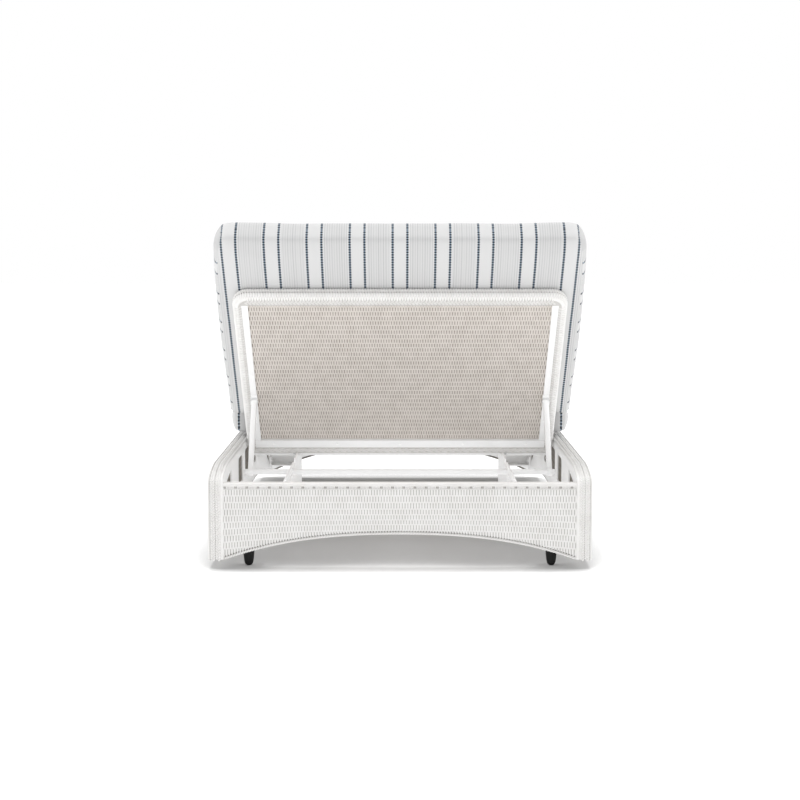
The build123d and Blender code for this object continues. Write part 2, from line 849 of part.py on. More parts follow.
with BuildPart() as wrap_right:
    with BuildSketch(back_plane.offset(-back_face)):
        with Locations((wrap_inner, wrap_bottom_top)):
            Rectangle(border_side, wrap_top_bottom - wrap_bottom_top, align=Align.MIN)
    extrude(amount=back_thickness)
    with BuildSketch(back_plane.offset(wrap_wall - back_face)):
        with Locations((wrap_inner, wrap_bottom_top)):
            Rectangle(border_side - wrap_wall, wrap_top_bottom - wrap_bottom_top, align=Align.MIN)
    extrude(amount=back_thickness - 2 * wrap_wall, mode=Mode.SUBTRACT)
    with BuildSketch(plane_x(0)):
        with Locations((hinge_y, hinge_z)):
            Circle(bush_radius)
    extrude(amount=back_half, mode=Mode.SUBTRACT)

with BuildPart() as wrap_left:
    mirror(wrap_right.part, about=Plane.YZ)

with BuildPart() as wrap_foot:
    with BuildSketch(back_plane.offset(-back_face)) as wrap_foot_face:
        with Locations((0, -back_below)):
            Rectangle(2 * back_half, border_bottom, align=(Align.CENTER, Align.MIN))
        fillet(wrap_foot_face.vertices().group_by(Axis.Y)[0], back_foot_corner)
    extrude(amount=back_thickness)
    with BuildSketch(back_plane.offset(wrap_wall - back_face)):
        with Locations((0, wrap_wall - back_below)):
            Rectangle(
                2 * (back_half - wrap_wall),
                border_bottom - wrap_wall,
                align=(Align.CENTER, Align.MIN),
            )
    extrude(amount=back_thickness - 2 * wrap_wall, mode=Mode.SUBTRACT)
    with BuildSketch(plane_x(-back_half)):
        with Locations((hinge_y, hinge_z)):
            Circle(bush_radius)
    extrude(amount=2 * back_half, mode=Mode.SUBTRACT)

# Woven panel between the core and the white retainers screwed over its edges
with BuildPart() as back_panel:
    with BuildSketch(back_plane.offset(panel_front)):
        with Locations((0, retainer_foot_bottom)):
            Rectangle(
                2 * (wrap_inner + panel_tuck),
                wrap_top_bottom + panel_tuck_top - retainer_foot_bottom,
                align=(Align.CENTER, Align.MIN),
            )
        with Locations(*screw_places):
            Circle(screw_radius + screw_play, mode=Mode.SUBTRACT)
    extrude(amount=panel)

with BuildPart() as retainer_right:
    with BuildSketch(back_plane.offset(panel_back)):
        with Locations((retainer_inner, retainer_foot_top + fit)):
            Rectangle(retainer_side, wrap_top_bottom - retainer_foot_top - 2 * fit, align=Align.MIN)
        with Locations(*screw_places):
            Circle(screw_radius + screw_play, mode=Mode.SUBTRACT)
    extrude(amount=back_face - panel_back)

with BuildPart() as retainer_left:
    mirror(retainer_right.part, about=Plane.YZ)

with BuildPart() as retainer_bottom:
    with BuildSketch(back_plane.offset(panel_back)):
        with Locations((0, retainer_foot_bottom)):
            Rectangle(2 * (wrap_inner - fit), retainer_foot, align=(Align.CENTER, Align.MIN))
        with Locations(*screw_places):
            Circle(screw_radius + screw_play, mode=Mode.SUBTRACT)
    extrude(amount=back_face - panel_back + retainer_proud)

with BuildPart() as retainer_screws:
    for place in screw_places:
        seat = back_face + (retainer_proud if place[1] < retainer_foot_top else 0)
        with BuildSketch(back_plane.offset(seat)):
            with Locations(place):
                Circle(screw_head_radius)
        extrude(amount=screw_head)
        with BuildSketch(back_plane.offset(panel_front - screw_in_core)):
            with Locations(place):
                Circle(screw_radius)
        extrude(amount=seat - panel_front + screw_in_core)

# Prop lugs on the side retainers, with headed pins
lug_inner = prop_arm_x - prop_arm_width / 2 - lug_side_gap - lug_sheet
lug_outer = prop_arm_x + prop_arm_width / 2 + lug_side_gap + lug_sheet
pivot = on_back(prop_up, prop_out)

with BuildPart() as prop_lug_right:
    with BuildSketch(back_plane.offset(back_face)):
        with Locations((lug_inner, prop_up - lug_length / 2)):
            Rectangle(lug_outer - lug_inner, lug_length, align=Align.MIN)
    extrude(amount=lug_base)
    for start in (lug_inner, lug_outer - lug_sheet):
        with BuildSketch(plane_x(start)):
            with BuildLine():
                Polyline(
                    on_back(prop_up - lug_length / 2, back_face),
                    on_back(prop_up + lug_length / 2, back_face),
                    on_back(prop_up + lug_cap, prop_out),
                    on_back(prop_up - lug_cap, prop_out),
                    close=True,
                )
            make_face()
            with Locations(pivot):
                Circle(lug_cap)
                Circle(prop_pin_radius + running_fit, mode=Mode.SUBTRACT)
        extrude(amount=lug_sheet)

with BuildPart() as prop_lug_left:
    mirror(prop_lug_right.part, about=Plane.YZ)

with BuildPart() as prop_pin_right:
    with BuildSketch(plane_x(lug_inner - prop_pin_head_length)):
        with Locations(pivot):
            Circle(prop_pin_head)
    extrude(amount=prop_pin_head_length)
    with BuildSketch(plane_x(lug_outer)):
        with Locations(pivot):
            Circle(prop_pin_head)
    extrude(amount=prop_pin_head_length)
    with BuildSketch(plane_x(lug_inner)):
        with Locations(pivot):
            Circle(prop_pin_radius)
    extrude(amount=lug_outer - lug_inner)

with BuildPart() as prop_pin_left:
    mirror(prop_pin_right.part, about=Plane.YZ)

# Prop: two arms on a cross bar that lies in the racks' slots
bar = on_ray(bar_reach(back_angle))
arm_middle = ((pivot[0] + bar[0]) / 2, (pivot[1] + bar[1]) / 2)
arm_length = hypot(bar[0] - pivot[0], bar[1] - pivot[1])
arm_turn = degrees(atan2(bar[1] - pivot[1], bar[0] - pivot[0]))
bar_half = prop_arm_x + prop_arm_width / 2 + prop_bar_past_arm

with BuildPart() as prop_arm_right:
    with BuildSketch(plane_x(prop_arm_x - prop_arm_width / 2)):
        with Locations(arm_middle):
            Rectangle(arm_length, prop_arm_depth, arm_turn)
        with Locations(pivot):
            Circle(prop_eye)
            Circle(prop_pin_radius + running_fit, mode=Mode.SUBTRACT)
        with Locations(bar):
            Circle(prop_foot_eye)
            Circle(prop_bar_radius + running_fit, mode=Mode.SUBTRACT)
    extrude(amount=prop_arm_width)

with BuildPart() as prop_arm_left:
    mirror(prop_arm_right.part, about=Plane.YZ)

with BuildPart() as prop_bar:
    with BuildSketch(plane_x(-bar_half)):
        with Locations(bar):
            Circle(prop_bar_radius)
            Circle(prop_bar_radius - prop_bar_wall, mode=Mode.SUBTRACT)
    extrude(amount=2 * bar_half)

with BuildPart() as prop_caps:
    for side in (-1, 1):
        with BuildSketch(plane_x(side * bar_half)):
            with Locations(bar):
                Circle(prop_bar_radius)
        extrude(amount=side * cap_length)
        with BuildSketch(plane_x(side * bar_half)):
            with Locations(bar):
                Circle(prop_bar_radius - prop_bar_wall - running_fit)
        extrude(amount=-side * cap_plug)
    cap_ends = prop_caps.edges().filter_by(GeomType.CIRCLE).sort_by(Axis.X)
    fillet([cap_ends[0], cap_ends[-1]], cap_round)


def cushion_section(plane, inset, swell, crown):
    """A cushion's cross section: flat below, bulging boxing at the sides, a crowned top."""
    half = cushion_half - inset + swell
    edge = half - cushion_bulge
    top = cushion_thickness - inset
    with BuildSketch(plane) as section:
        with BuildLine():
            Line((-edge, 0), (edge, 0))
            ThreePointArc((edge, 0), (half, top / 2), (edge, top))
            ThreePointArc((edge, top), (0, top + crown), (-edge, top))
            ThreePointArc((-edge, top), (-half, top / 2), (-edge, 0))
        make_face()
    return section.sketch


def cushion_stations(length):
    """Stations along a cushion: distance, inset at its rounded ends, swell of the sides and crown."""
    turns = [step / round_steps * pi / 2 for step in range(round_steps)]
    ends = [(cushion_round * (1 - cos(a)), cushion_round * (1 - sin(a))) for a in turns]
    span = length - 2 * cushion_round
    middle = [(cushion_round + span * step / long_steps, 0) for step in range(long_steps + 1)]
    far = [(length - along, inset) for along, inset in reversed(ends)]
    for along, inset in ends + middle + far:
        share = 4 * along * (length - along) / length**2
        yield along, inset, cushion_swell * share, cushion_end_crown + cushion_crown * sqrt(share)


seat_cushion_start = hinge_y + seat_cushion_after_hinge
seat_cushion_length = half_length - seat_cushion_from_foot - seat_cushion_start

with BuildPart() as seat_cushion:
    loft(
        [
            cushion_section(
                Plane((0, seat_cushion_start + along, rail_top + fit), (1, 0, 0), (0, -1, 0)), *shape
            )
            for along, *shape in cushion_stations(seat_cushion_length)
        ],
        ruled=True,
    )

# The back cushion's lower end is cut to lie on the seat cushion
cushion_front = -(back_face + fit + cushion_thickness)
cut_rear = back_plane.from_local_coords((0, back_cushion_rear_low, -back_face - fit))
cut_front = back_plane.from_local_coords((0, back_cushion_front_low, cushion_front))
back_cushion_length = back_cushion_top - back_cushion_front_low + 2 * cushion_round

with BuildPart() as back_cushion:
    loft(
        [
            cushion_section(
                Plane(
                    back_plane.from_local_coords((0, back_cushion_top - along, -back_face - fit)),
                    (1, 0, 0),
                    back_plane.y_dir,
                ),
                *shape,
            )
            for along, *shape in cushion_stations(back_cushion_length)
        ],
        ruled=True,
    )
    cut_along = cut_rear - cut_front
    split(bisect_by=Plane(cut_front, (1, 0, 0), Vector(1, 0, 0).cross(cut_along)), keep=Keep.BOTTOM)

pieces = {
    "side_frame_left": side_frame_left,
    "side_frame_right": side_frame_right,
    "head_frame": head_frame,
    "foot_frame": foot_frame,
    "side_skin_left": side_skin_left,
    "side_skin_right": side_skin_right,
    "head_skirt": head_skirt,
    "foot_skirt": foot_skirt,
    "mid_cross_tube": mid_cross_tube,
    "seat_cross_tube": seat_cross_tube,
    "seat_rail_left": seat_rail_left,
    "seat_rail_right": seat_rail_right,
    "seat_rail_head": seat_rail_head,
    "seat_rail_foot": seat_rail_foot,
    "seat_slat": seat_slat,
    "seat_deck": seat_deck,
    "rack_left": rack_left,
    "rack_right": rack_right,
    "rack_bolts": rack_bolts,
    "foot_studs": foot_studs,
    "foot_nuts": foot_nuts,
    "bracket_bolts": bracket_bolts,
    "hinge_bush_left": hinge_bush_left,
    "hinge_bush_right": hinge_bush_right,
    "hinge_pin_left": hinge_pin_left,
    "hinge_pin_right": hinge_pin_right,
    "core_foot": core_foot,
    "core_head": core_head,
    "core_left": core_left,
    "core_right": core_right,
    "wrap_foot": wrap_foot,
    "wrap_head": wrap_head,
    "wrap_left": wrap_left,
    "wrap_right": wrap_right,
    "back_panel": back_panel,
    "retainer_left": retainer_left,
    "retainer_right": retainer_right,
    "retainer_bottom": retainer_bottom,
    "retainer_screws": retainer_screws,
    "prop_lug_left": prop_lug_left,
    "prop_lug_right": prop_lug_right,
    "prop_pin_left": prop_pin_left,
    "prop_pin_right": prop_pin_right,
    "prop_arm_left": prop_arm_left,
    "prop_arm_right": prop_arm_right,
    "prop_bar": prop_bar,
    "prop_caps": prop_caps,
    "seat_cushion": seat_cushion,
    "back_cushion": back_cushion,
    **corner_brackets,
    **feet,
}

os.makedirs("parts", exist_ok=True)
for name, piece in pieces.items():
    piece.part.label = name
    export_step(piece.part, f"parts/{name}.step")
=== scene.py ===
import json
from math import ceil, cos, pi, radians, sin

import bmesh
import bpy
import numpy as np
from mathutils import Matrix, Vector


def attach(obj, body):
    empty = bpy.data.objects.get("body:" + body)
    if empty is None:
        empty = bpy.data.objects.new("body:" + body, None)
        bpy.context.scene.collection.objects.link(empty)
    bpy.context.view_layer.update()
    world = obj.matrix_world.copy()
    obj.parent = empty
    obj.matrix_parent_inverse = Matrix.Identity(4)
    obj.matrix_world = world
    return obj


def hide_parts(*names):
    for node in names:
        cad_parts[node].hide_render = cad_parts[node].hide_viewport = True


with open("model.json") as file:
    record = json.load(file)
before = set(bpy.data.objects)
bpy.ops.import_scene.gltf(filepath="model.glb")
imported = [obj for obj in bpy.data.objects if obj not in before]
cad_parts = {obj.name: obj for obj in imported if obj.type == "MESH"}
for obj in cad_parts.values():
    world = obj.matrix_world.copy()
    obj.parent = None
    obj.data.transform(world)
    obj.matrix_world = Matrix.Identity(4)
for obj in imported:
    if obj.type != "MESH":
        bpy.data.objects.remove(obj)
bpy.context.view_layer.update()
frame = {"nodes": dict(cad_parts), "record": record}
nodes = frame["nodes"]
chance = np.random.default_rng(7)

# Base, in metres like all sizes here
HALF_WIDTH = 0.595
HALF_LENGTH = 0.980
RAIL_TOP = 0.312
LEG_BOTTOM = 0.030
ARCH_BELOW = 0.2
SKIN = 0.008
LINING_IN = 0.0298
SKIRT_FACE = 0.976
SKIRT_HALF = 0.5517
HEAD_TOP = 0.270
FOOT_TOP = 0.308

# Back, measured from its hinge: up along it, and out of its rear face
HINGE = np.array((0, -0.160, 0.2915))
BACK_TILT = radians(46.5)
BACK_FACE = 0.0205
BACK_HALF = 0.545
BACK_TOP = 0.775
BACK_LOW = 0.003
BACK_END = -0.030
BACK_CORNER = 0.052
BACK_ROUND = 0.015
BORDER_SIDE = 0.028
BORDER_TOP = 0.044
RETAINER_SIDE = 0.0207
RETAINER_FOOT_TOP = 0.0413

# Cushions
CUSHION_HALF = 0.598
CUSHION_THICK = 0.130
CUSHION_TOP = 0.957
SEAT_START = -0.128
SENEAR = 0.975

# Directions
X = np.array((1.0, 0, 0))
Y = np.array((0, 1.0, 0))
Z = np.array((0, 0, 1.0))
BACK_UP = np.array((0, -cos(BACK_TILT), sin(BACK_TILT)))
BACK_OUT = np.array((0, -sin(BACK_TILT), -cos(BACK_TILT)))
FACING = 0.9
FLAT_ON = 0.95

# Tolerances, from the widest to the finest
NEAR = 1e-3
ON_FACE = 2e-4
NO_HEIGHT = 1e-5
WELD = 1e-5
ALMOST_NONE = 1e-6
SAME_POINT = 1e-7

# Angles in degrees up to which a surface is shaded smooth
ROUND_STRANDS = 80
ROUND_BANDS = 50
ROUND_METAL = 40
ALL_ROUND = 180

# Loom weave: strands that pass over and under each other in staggered rows
STRAND = 0.00435
STRAND_CUTS = 3
ROW = 0.0209
PANEL_ROW = 0.0218
ROW_CUTS = 4
OVER_HALF = 0.0030
CROSS_HALF = 0.0025
UNDER_HALF = 0.0013
OVER_LIFT = 0.0018
CROSS_LIFT = 0.0011
UNDER_SINK = 0.0022
EDGE_DROP = 0.0009
CROSS_TURN = 0.12
SWAY = 0.00012
SWELL = 0.05
FIELD_LIFT = 0.0008

# Rows over an arch draw together from this depth on: the share, the run and the way back
DRAW_FROM = 0.063
DRAW_SHARE = 0.113
DRAW_RUN = 0.062
UNDRAW_SHARE = 0.127
UNDRAW_RUN = 0.048

# Sides: edge roll, and the rim's plaits, dark dots that paint the shade between its strands, and
# joint; strand sizes are half sizes
SIDE_EASE = 0.004
SIDE_DROP = 0.018
SIDE_ROUND = 0.016
EDGE_STEP = 0.006
SIDE_ROLL = (0.011, 0.004)
RIM = 0.041
RIM_PLAIT_FROM_EDGE = (0.0125, 0.0285)
RIM_PLAIT_WIDTH = 0.016
RIM_STRAND = (0.0062, 0.0032, 0.0022)
RIM_SLANT = radians(38)
RIM_DOTS_FROM_EDGE = (0.0045, 0.0205)
RIM_DOT_PITCH = 0.0068
RIM_DOT = (0.0015, 0.0015, 0.0012)
RIM_JOINT_DOWN = 0.0020
RIM_JOINT = (0.0045, 0.0020)

# Strip where a side meets the head skirt, and dots of painted shade along its joint
STRIP_LOW = (0.5570, 0.042)
STRIP_TOP = (0.5520, HEAD_TOP - 0.001)
STRIP_STEPS = 30
STRIP = (0.0046, 0.0034)
STRIP_DOTS_IN = 0.0048
STRIP_DOTS_OUT = 0.0008
STRIP_DOT = (0.0028, 0.0009, 0.0010)

# Wound roll along a skirt's top edge as (up, out), and which of its points the winding swells
SKIRT_EASE = 0.0015
ROLL_PROFILE = np.array(
    (
        (-0.0105, -0.001),
        (-0.0105, 0.0016),
        (-0.0095, 0.0034),
        (-0.0075, 0.0044),
        (-0.0050, 0.0042),
        (-0.0025, 0.0028),
        (-0.0006, 0.0004),
        (0.0004, -0.0040),
        (0.0004, -0.0200),
        (-0.0010, -0.0340),
        (-0.0060, -0.0340),
        (-0.0060, -0.0060),
    )
)
ROLL_OUTER = np.array((0, 1, 1, 1, 1, 1, 1, 0.5, 0, 0, 0, 0))
WINDING = np.array((0.0, 0.0007))
WINDING_SHARE = (0.3, 1.0)

# Stitches under the roll, with dark beads of painted shade for the holes and dots: drop below the
# skirt's top, and half sizes
FIELD_DROP = 0.0186
STITCH_REPEAT = 8
STITCH_LIFT = 0.0006
STITCH_DROP = 0.0140
STITCH = (0.0046, 0.0023, 0.0020)
STITCH_HOLE_DROP = 0.0116
STITCH_HOLE = (0.0017, 0.0015, 0.0014)
STITCH_DOT_DROP = 0.0152
STITCH_DOT = (0.0012, 0.0010, 0.0028)

# Twisted rope along the arches, and dark beads above it that paint the shade in the stitch holes
ROPE_PITCH = 0.0090
ROPE_SIZE = (0.0074, 0.0030, 0.0024)
ROPE_LEAN = radians(34)
ROPE_BAND = 0.0092
SIDE_ROPE_UP = 0.0045
SKIRT_ROPE_UP = 0.0040
ROPE_DOTS_UP = 0.0056
ROPE_DOTS_OUT = 0.0022
ROPE_DOT = (0.0017, 0.0024, 0.0016)

# Strand loops that bind the back's edge, and the dark beads of painted shade for the holes and
# dots between them, as half sizes
BINDING_LOOP = (0.0088, 0.0042, 0.0020)
BINDING_HOLE = (0.0034, 0.0012, 0.0016)
BINDING_DOT = (0.0030, 0.0011, 0.0014)

# Rows of the binding: degrees round the edge, side of its middle, shift in strands
LOOP_ROWS = ((112, -1, 0), (64, 1, 1), (14, 1, 0))
HOLE_ROW = (90, 0.5, 0.5)
DOT_ROW = (38, 1, 0.5)

# Twill of the back's border: pitch, width, half sizes of a strand, slant
TWILL = (0.0120, 0.017, (0.0078, 0.0046, 0.0018), radians(45))
LONG_TWILL = (0.0260, 0.017, (0.0170, 0.0050, 0.0020), radians(11))
TWILL_SIDE_IN = 0.0185
TWILL_SIDE_RUN = np.array((0.010, 0.722))
TWILL_HEAD_DOWN = 0.0295
TWILL_HEAD_RUN = np.array((-0.50, 0.50))
TWILL_FOOT_UP = 0.0165
TWILL_FOOT_RUN = np.array((-0.52, 0.52))

# The back's outline and section in steps, its eased edges and the panel's play
ARC_STEPS = 16
RUN_STEPS = 14
ROUND_STEPS = 6
WRAP_EASE = 0.0028
PANEL_EASE = 0.0008
PANEL_SIDE_PLAY = 0.0004
PANEL_LOW_PLAY = 0.0003
PANEL_SINK_SHARE = 0.45

# Ticking of the cushions
STRIPE_PITCH = 0.1366
STRIPE_LINE_AT = 0.0235
STRIPE_LINE_HALF = 0.0029
STRIPE_LINE_SOFT = 0.0007
RUNG_PITCH = 0.0112
RUNG_WIDER = 0.0010
PINSTRIPE_PITCH = 0.0078
PINSTRIPE_FROM_LINE = (0.006, 0.009)
THREAD_ACROSS = 0.0016
THREAD_ALONG = 0.0013

WHITE = (1, 1, 1, 1)
BLUE_LOSS = 1.4


class Value:
    """A shader socket that Python sums and products turn into Math nodes."""

    def __init__(self, nodes, socket):
        self.nodes = nodes
        self.socket = socket

    def math(self, operation, *others):
        return self.nodes.node(
            "ShaderNodeMath", {"operation": operation}, dict(enumerate((self, *others)))
        )

    def __add__(self, other):
        return self.math("ADD", other)

    def __mul__(self, other):
        return self.math("MULTIPLY", other)

    def __sub__(self, other):
        return self.math("SUBTRACT", other)

    def __rsub__(self, other):
        return self * -1 + other

    def __abs__(self):
        return self.math("ABSOLUTE")

    __radd__ = __add__
    __rmul__ = __mul__

    def fract(self):
        return self.math("FRACT")

    def wave(self, pitch):
        """0 to 1 and back over each pitch."""
        return (self * (2 * pi / pitch)).math("SINE") * 0.5 + 0.5

    def step(self, low, high):
        """A soft step from 0 at low to 1 at high."""
        return self.nodes.node(
            "ShaderNodeMapRange",
            {"interpolation_type": "SMOOTHSTEP"},
            {0: self, 1: low, 2: high, 3: 0.0, 4: 1.0},
        )


class Nodes:
    """A node tree, and the one way to add nodes to it."""

    def __init__(self, tree):
        self.tree = tree

    def node(self, kind, settings=None, sockets=None, out=0):
        made = self.tree.nodes.new(kind)
        for key, value in (settings or {}).items():
            setattr(made, key, value)
        for key, value in (sockets or {}).items():
            self.put(made, key, value)
        return Value(self, made.outputs[out])

    def put(self, node, key, value):
        if isinstance(value, Value):
            self.tree.links.new(value.socket, node.inputs[key])
        else:
            node.inputs[key].default_value = value

    def outputs_of(self, value):
        """All outputs of the node that a value comes from, by name."""
        return {socket.name: Value(self, socket) for socket in value.socket.node.outputs}

    def seen(self):
        """1 for what the camera sees, in a mirror or through glass too, and 0 for other light."""
        rays = self.outputs_of(self.node("ShaderNodeLightPath"))
        return rays["Is Camera Ray"] + rays["Is Glossy Ray"] + rays["Is Transmission Ray"]


class Finish(Nodes):
    """A material being made."""

    def __init__(self, name):
        self.material = bpy.data.materials.new(name)
        self.material.use_nodes = True
        super().__init__(self.material.node_tree)
        self.shader = self.tree.nodes["Principled BSDF"]

    def set(self, **sockets):
        for key, value in sockets.items():
            self.put(self.shader, key.replace("_", " "), value)

    def place(self):
        return self.node("ShaderNodeTexCoord", out=3)

    def split(self, vector):
        parts = self.node("ShaderNodeSeparateXYZ", sockets={0: vector})
        return list(self.outputs_of(parts).values())

    def noise(self, vector, scale, detail):
        return self.node(
            "ShaderNodeTexNoise", sockets={"Vector": vector, "Scale": scale, "Detail": detail}
        )

    def mix(self, factor, one, other):
        return self.node("ShaderNodeMix", {"data_type": "RGBA"}, {0: factor, 6: one, 7: other}, 2)

    def bump(self, height, distance, strength):
        self.set(
            Normal=self.node(
                "ShaderNodeBump",
                sockets={"Height": height, "Distance": distance, "Strength": strength},
            )
        )


def grey(level, warm=0.0):
    """A near-neutral colour, a little warmer with warm above 0."""
    return (level * (1 + warm), level, level * (1 - BLUE_LOSS * warm), 1.0)


def wicker(name, light, dark):
    """Resin strands: satin, with fine fibre marks and slow changes of tone."""
    finish = Finish(name)
    place = finish.place()
    tone = finish.noise(place, scale=26, detail=3).step(0.35, 0.65)
    fleck = finish.noise(place, scale=420, detail=2)
    finish.set(Base_Color=finish.mix(tone * 0.6 + fleck * 0.4, dark, light), Roughness=0.5)
    finish.bump(fleck, distance=0.0005, strength=0.4)
    return finish.material


def coated(name, colour, shade, roughness):
    """Powder coat: a fine orange-peel skin with faint changes of gloss."""
    finish = Finish(name)
    place = finish.place()
    peel = finish.noise(place, scale=700, detail=1)
    cloud = finish.noise(place, scale=9, detail=2)
    finish.set(
        Base_Color=finish.mix(cloud.step(0.3, 0.7), shade, colour),
        Roughness=cloud * 0.12 + (roughness - 0.06),
    )
    finish.bump(peel, distance=0.00025, strength=0.25)
    return finish.material


def moulded(name, colour, shade, roughness, shine=0.5):
    """Moulded plastic with a fine spark texture and rubbed patches."""
    finish = Finish(name)
    place = finish.place()
    spark = finish.noise(place, scale=1100, detail=2)
    rub = finish.noise(place, scale=60, detail=3)
    finish.set(Base_Color=finish.mix(rub, shade, colour), Roughness=rub * 0.2 + (roughness - 0.1))
    finish.set(Specular_IOR_Level=shine)
    finish.bump(spark, distance=0.0002, strength=0.3)
    return finish.material


def brushed(name, colour, shade):
    """Bright zinc-coated steel with drawn marks."""
    finish = Finish(name)
    marks = finish.noise(finish.place(), scale=350, detail=4)
    finish.set(Base_Color=finish.mix(marks, shade, colour), Roughness=marks * 0.2 + 0.25)
    finish.set(Metallic=1.0)
    return finish.material


def flat_weave(name, light, dark, across_axis):
    """Weave seen from inside, as a finish: staggered bars with gaps painted dark as shade."""
    finish = Finish(name)
    place = finish.place()
    across, along = finish.split(place)[across_axis : across_axis + 2]
    bar = across.wave(2 * STRAND)
    turn = along.wave(2 * ROW)
    over = bar * turn + (1 - bar) * (1 - turn)
    fleck = finish.noise(place, scale=300, detail=2)
    finish.set(Base_Color=finish.mix(over.step(0.15, 0.6), dark, light), Roughness=0.6)
    finish.bump(over + fleck * 0.2, distance=0.002, strength=0.6)
    return finish.material


def ticking(name):
    """Striped cloth on the cushions' own map: plain bands, ladder lines and pinstripes."""
    finish = Finish(name)
    across, along, _ = finish.split(finish.node("ShaderNodeUVMap", {"uv_map": "cloth"}))
    from_band = abs(((across * (1 / STRIPE_PITCH) + 0.5).fract() - 0.5) * STRIPE_PITCH)
    from_line = abs(from_band - STRIPE_LINE_AT)
    rung = along.wave(RUNG_PITCH).step(0.12, 0.42)
    line_half = rung * RUNG_WIDER + STRIPE_LINE_HALF
    line = 1 - (from_line - line_half).step(-STRIPE_LINE_SOFT, STRIPE_LINE_SOFT)
    thread_place = finish.node("ShaderNodeCombineXYZ", sockets={0: across})
    threads = finish.noise(thread_place, scale=330, detail=1)
    pin = across.wave(PINSTRIPE_PITCH).step(0.45, 0.95) * threads.step(0.34, 0.6)
    pin_band = from_band.step(*(STRIPE_LINE_AT + away for away in PINSTRIPE_FROM_LINE))
    slub = finish.noise(finish.place(), scale=120, detail=3)
    ground = finish.mix(pin_band, grey(0.615), grey(0.575))
    ground = finish.mix(pin * pin_band * 0.7, ground, grey(0.38, -0.01))
    ground = finish.mix(slub.step(0.3, 0.75) * 0.10, ground, grey(0.60))
    navy = finish.mix(rung, (0.24, 0.31, 0.38, 1), (0.009, 0.016, 0.028, 1))
    finish.set(Base_Color=finish.mix(line, ground, navy), Roughness=0.9)
    finish.set(Sheen_Weight=0.15, Sheen_Roughness=0.5)
    threads = across.wave(THREAD_ACROSS) * 0.5 + along.wave(THREAD_ALONG) * 0.5
    finish.bump(threads + slub * 0.5 + line * 0.6, distance=0.0005, strength=0.35)
    return finish.material


WICKER = wicker("white_wicker", grey(0.765, 0.008), grey(0.715, 0.014))
# Painted light: a lighter copy of the white wicker for the loops on the back's edge, where the
# cushion shades them
WICKER_LOOPS_LIT = wicker("wicker_loops_painted_light", grey(0.86, 0.008), grey(0.82, 0.012))
# Painted shade: darker wicker under the woven strands, seen between them
WICKER_UNDER_SHADE = wicker("wicker_shadow", grey(0.54, 0.02), grey(0.46, 0.03))
# Painted light: a lighter copy of the white wicker for the back border's rounded edge, where the
# cushion shades it
WICKER_ROUND_LIT = wicker("wicker_round_painted_light", grey(0.80, 0.01), grey(0.74, 0.02))
WICKER_TWILL = wicker("wicker_twill", grey(0.72, 0.012), grey(0.66, 0.02))
# Painted shade: darker wicker under the twill, seen between its strands
WICKER_LOW_SHADE = wicker("wicker_low_painted_shade", grey(0.57, 0.02), grey(0.50, 0.03))
# Painted shade: near-black beads that stand for the shade in holes and gaps between strands
WICKER_GAP_SHADE = wicker("wicker_gap_painted_shade", grey(0.14, 0.08), grey(0.08, 0.10))
# Painted shade: the skins' inner faces, dark as shade inside the base
WICKER_INSIDE_SHADE = wicker("wicker_inside_painted_shade", grey(0.16, 0.10), grey(0.10, 0.12))
TAUPE = wicker("taupe_strand", (0.69, 0.645, 0.605, 1), (0.62, 0.575, 0.535, 1))
# Painted shade: darker taupe under the back panel's strands, seen between them
TAUPE_UNDER_SHADE = wicker("taupe_shadow", (0.40, 0.35, 0.31, 1), (0.30, 0.26, 0.22, 1))
# Painted shade: the seat deck's taupe weave, darker than the taupe strands, as seen in shade from
# below
DECK_SHADE = flat_weave("seat_weave_painted_shade", grey(0.50, 0.05), grey(0.10, 0.10), across_axis=0)
# Painted shade: the inside of a side's weave, dark as seen through the frame's windows
LINING_SHADE = flat_weave("side_inside_painted_shade", grey(0.17, 0.13), grey(0.04, 0.15), across_axis=1)
# Lit and shaded copies of one white coat: the frames' coat is near full white as painted light for
# the shaded inside, the retainers' coat is darker as painted shade for their brighter light
COAT = coated("white_coat", grey(0.97), grey(0.95), roughness=0.42)
COAT_SHADED = coated("white_coat_painted_shade", grey(0.90), grey(0.88), roughness=0.42)
CAP = moulded("white_plastic", grey(0.84), grey(0.80), roughness=0.5)
BLACK = moulded("black_plastic", grey(0.010), grey(0.006), roughness=0.5, shine=0.15)
NYLON = moulded("nylon", grey(0.74, 0.01), grey(0.68, 0.02), roughness=0.5)
STEEL = brushed("zinc_steel", grey(0.66), grey(0.50))
TICKING = ticking("striped_cloth")


def select_only(piece):
    bpy.ops.object.select_all(action="DESELECT")
    piece.select_set(True)
    bpy.context.view_layer.objects.active = piece


def applied(piece, kind, **settings):
    """Adds a modifier with its settings and applies it."""
    select_only(piece)
    modifier = piece.modifiers.new(kind.lower(), kind)
    for key, value in settings.items():
        setattr(modifier, key, value)
    bpy.ops.object.modifier_apply(modifier=modifier.name)
    return piece


def mended(piece, weld=WELD, flat=None):
    """Merges doubles, joins flat faces and turns the faces outwards."""
    shape = bmesh.new()
    shape.from_mesh(piece.data)
    bmesh.ops.remove_doubles(shape, verts=shape.verts, dist=weld)
    if flat:
        bmesh.ops.dissolve_limit(shape, angle_limit=flat, verts=shape.verts, edges=shape.edges)
    bmesh.ops.recalc_face_normals(shape, faces=shape.faces)
    shape.to_mesh(piece.data)
    shape.free()
    return piece


def linked(name, data):
    """A new object in the scene, from its mesh, light or camera."""
    made = bpy.data.objects.new(name, data)
    bpy.context.scene.collection.objects.link(made)
    return made


def from_points(name, points, faces):
    """A new piece from points and faces, with the faces outwards."""
    mesh = bpy.data.meshes.new(name)
    mesh.from_pydata([tuple(point) for point in points], [], faces)
    mesh.update()
    return mended(linked(name, mesh), weld=SAME_POINT)


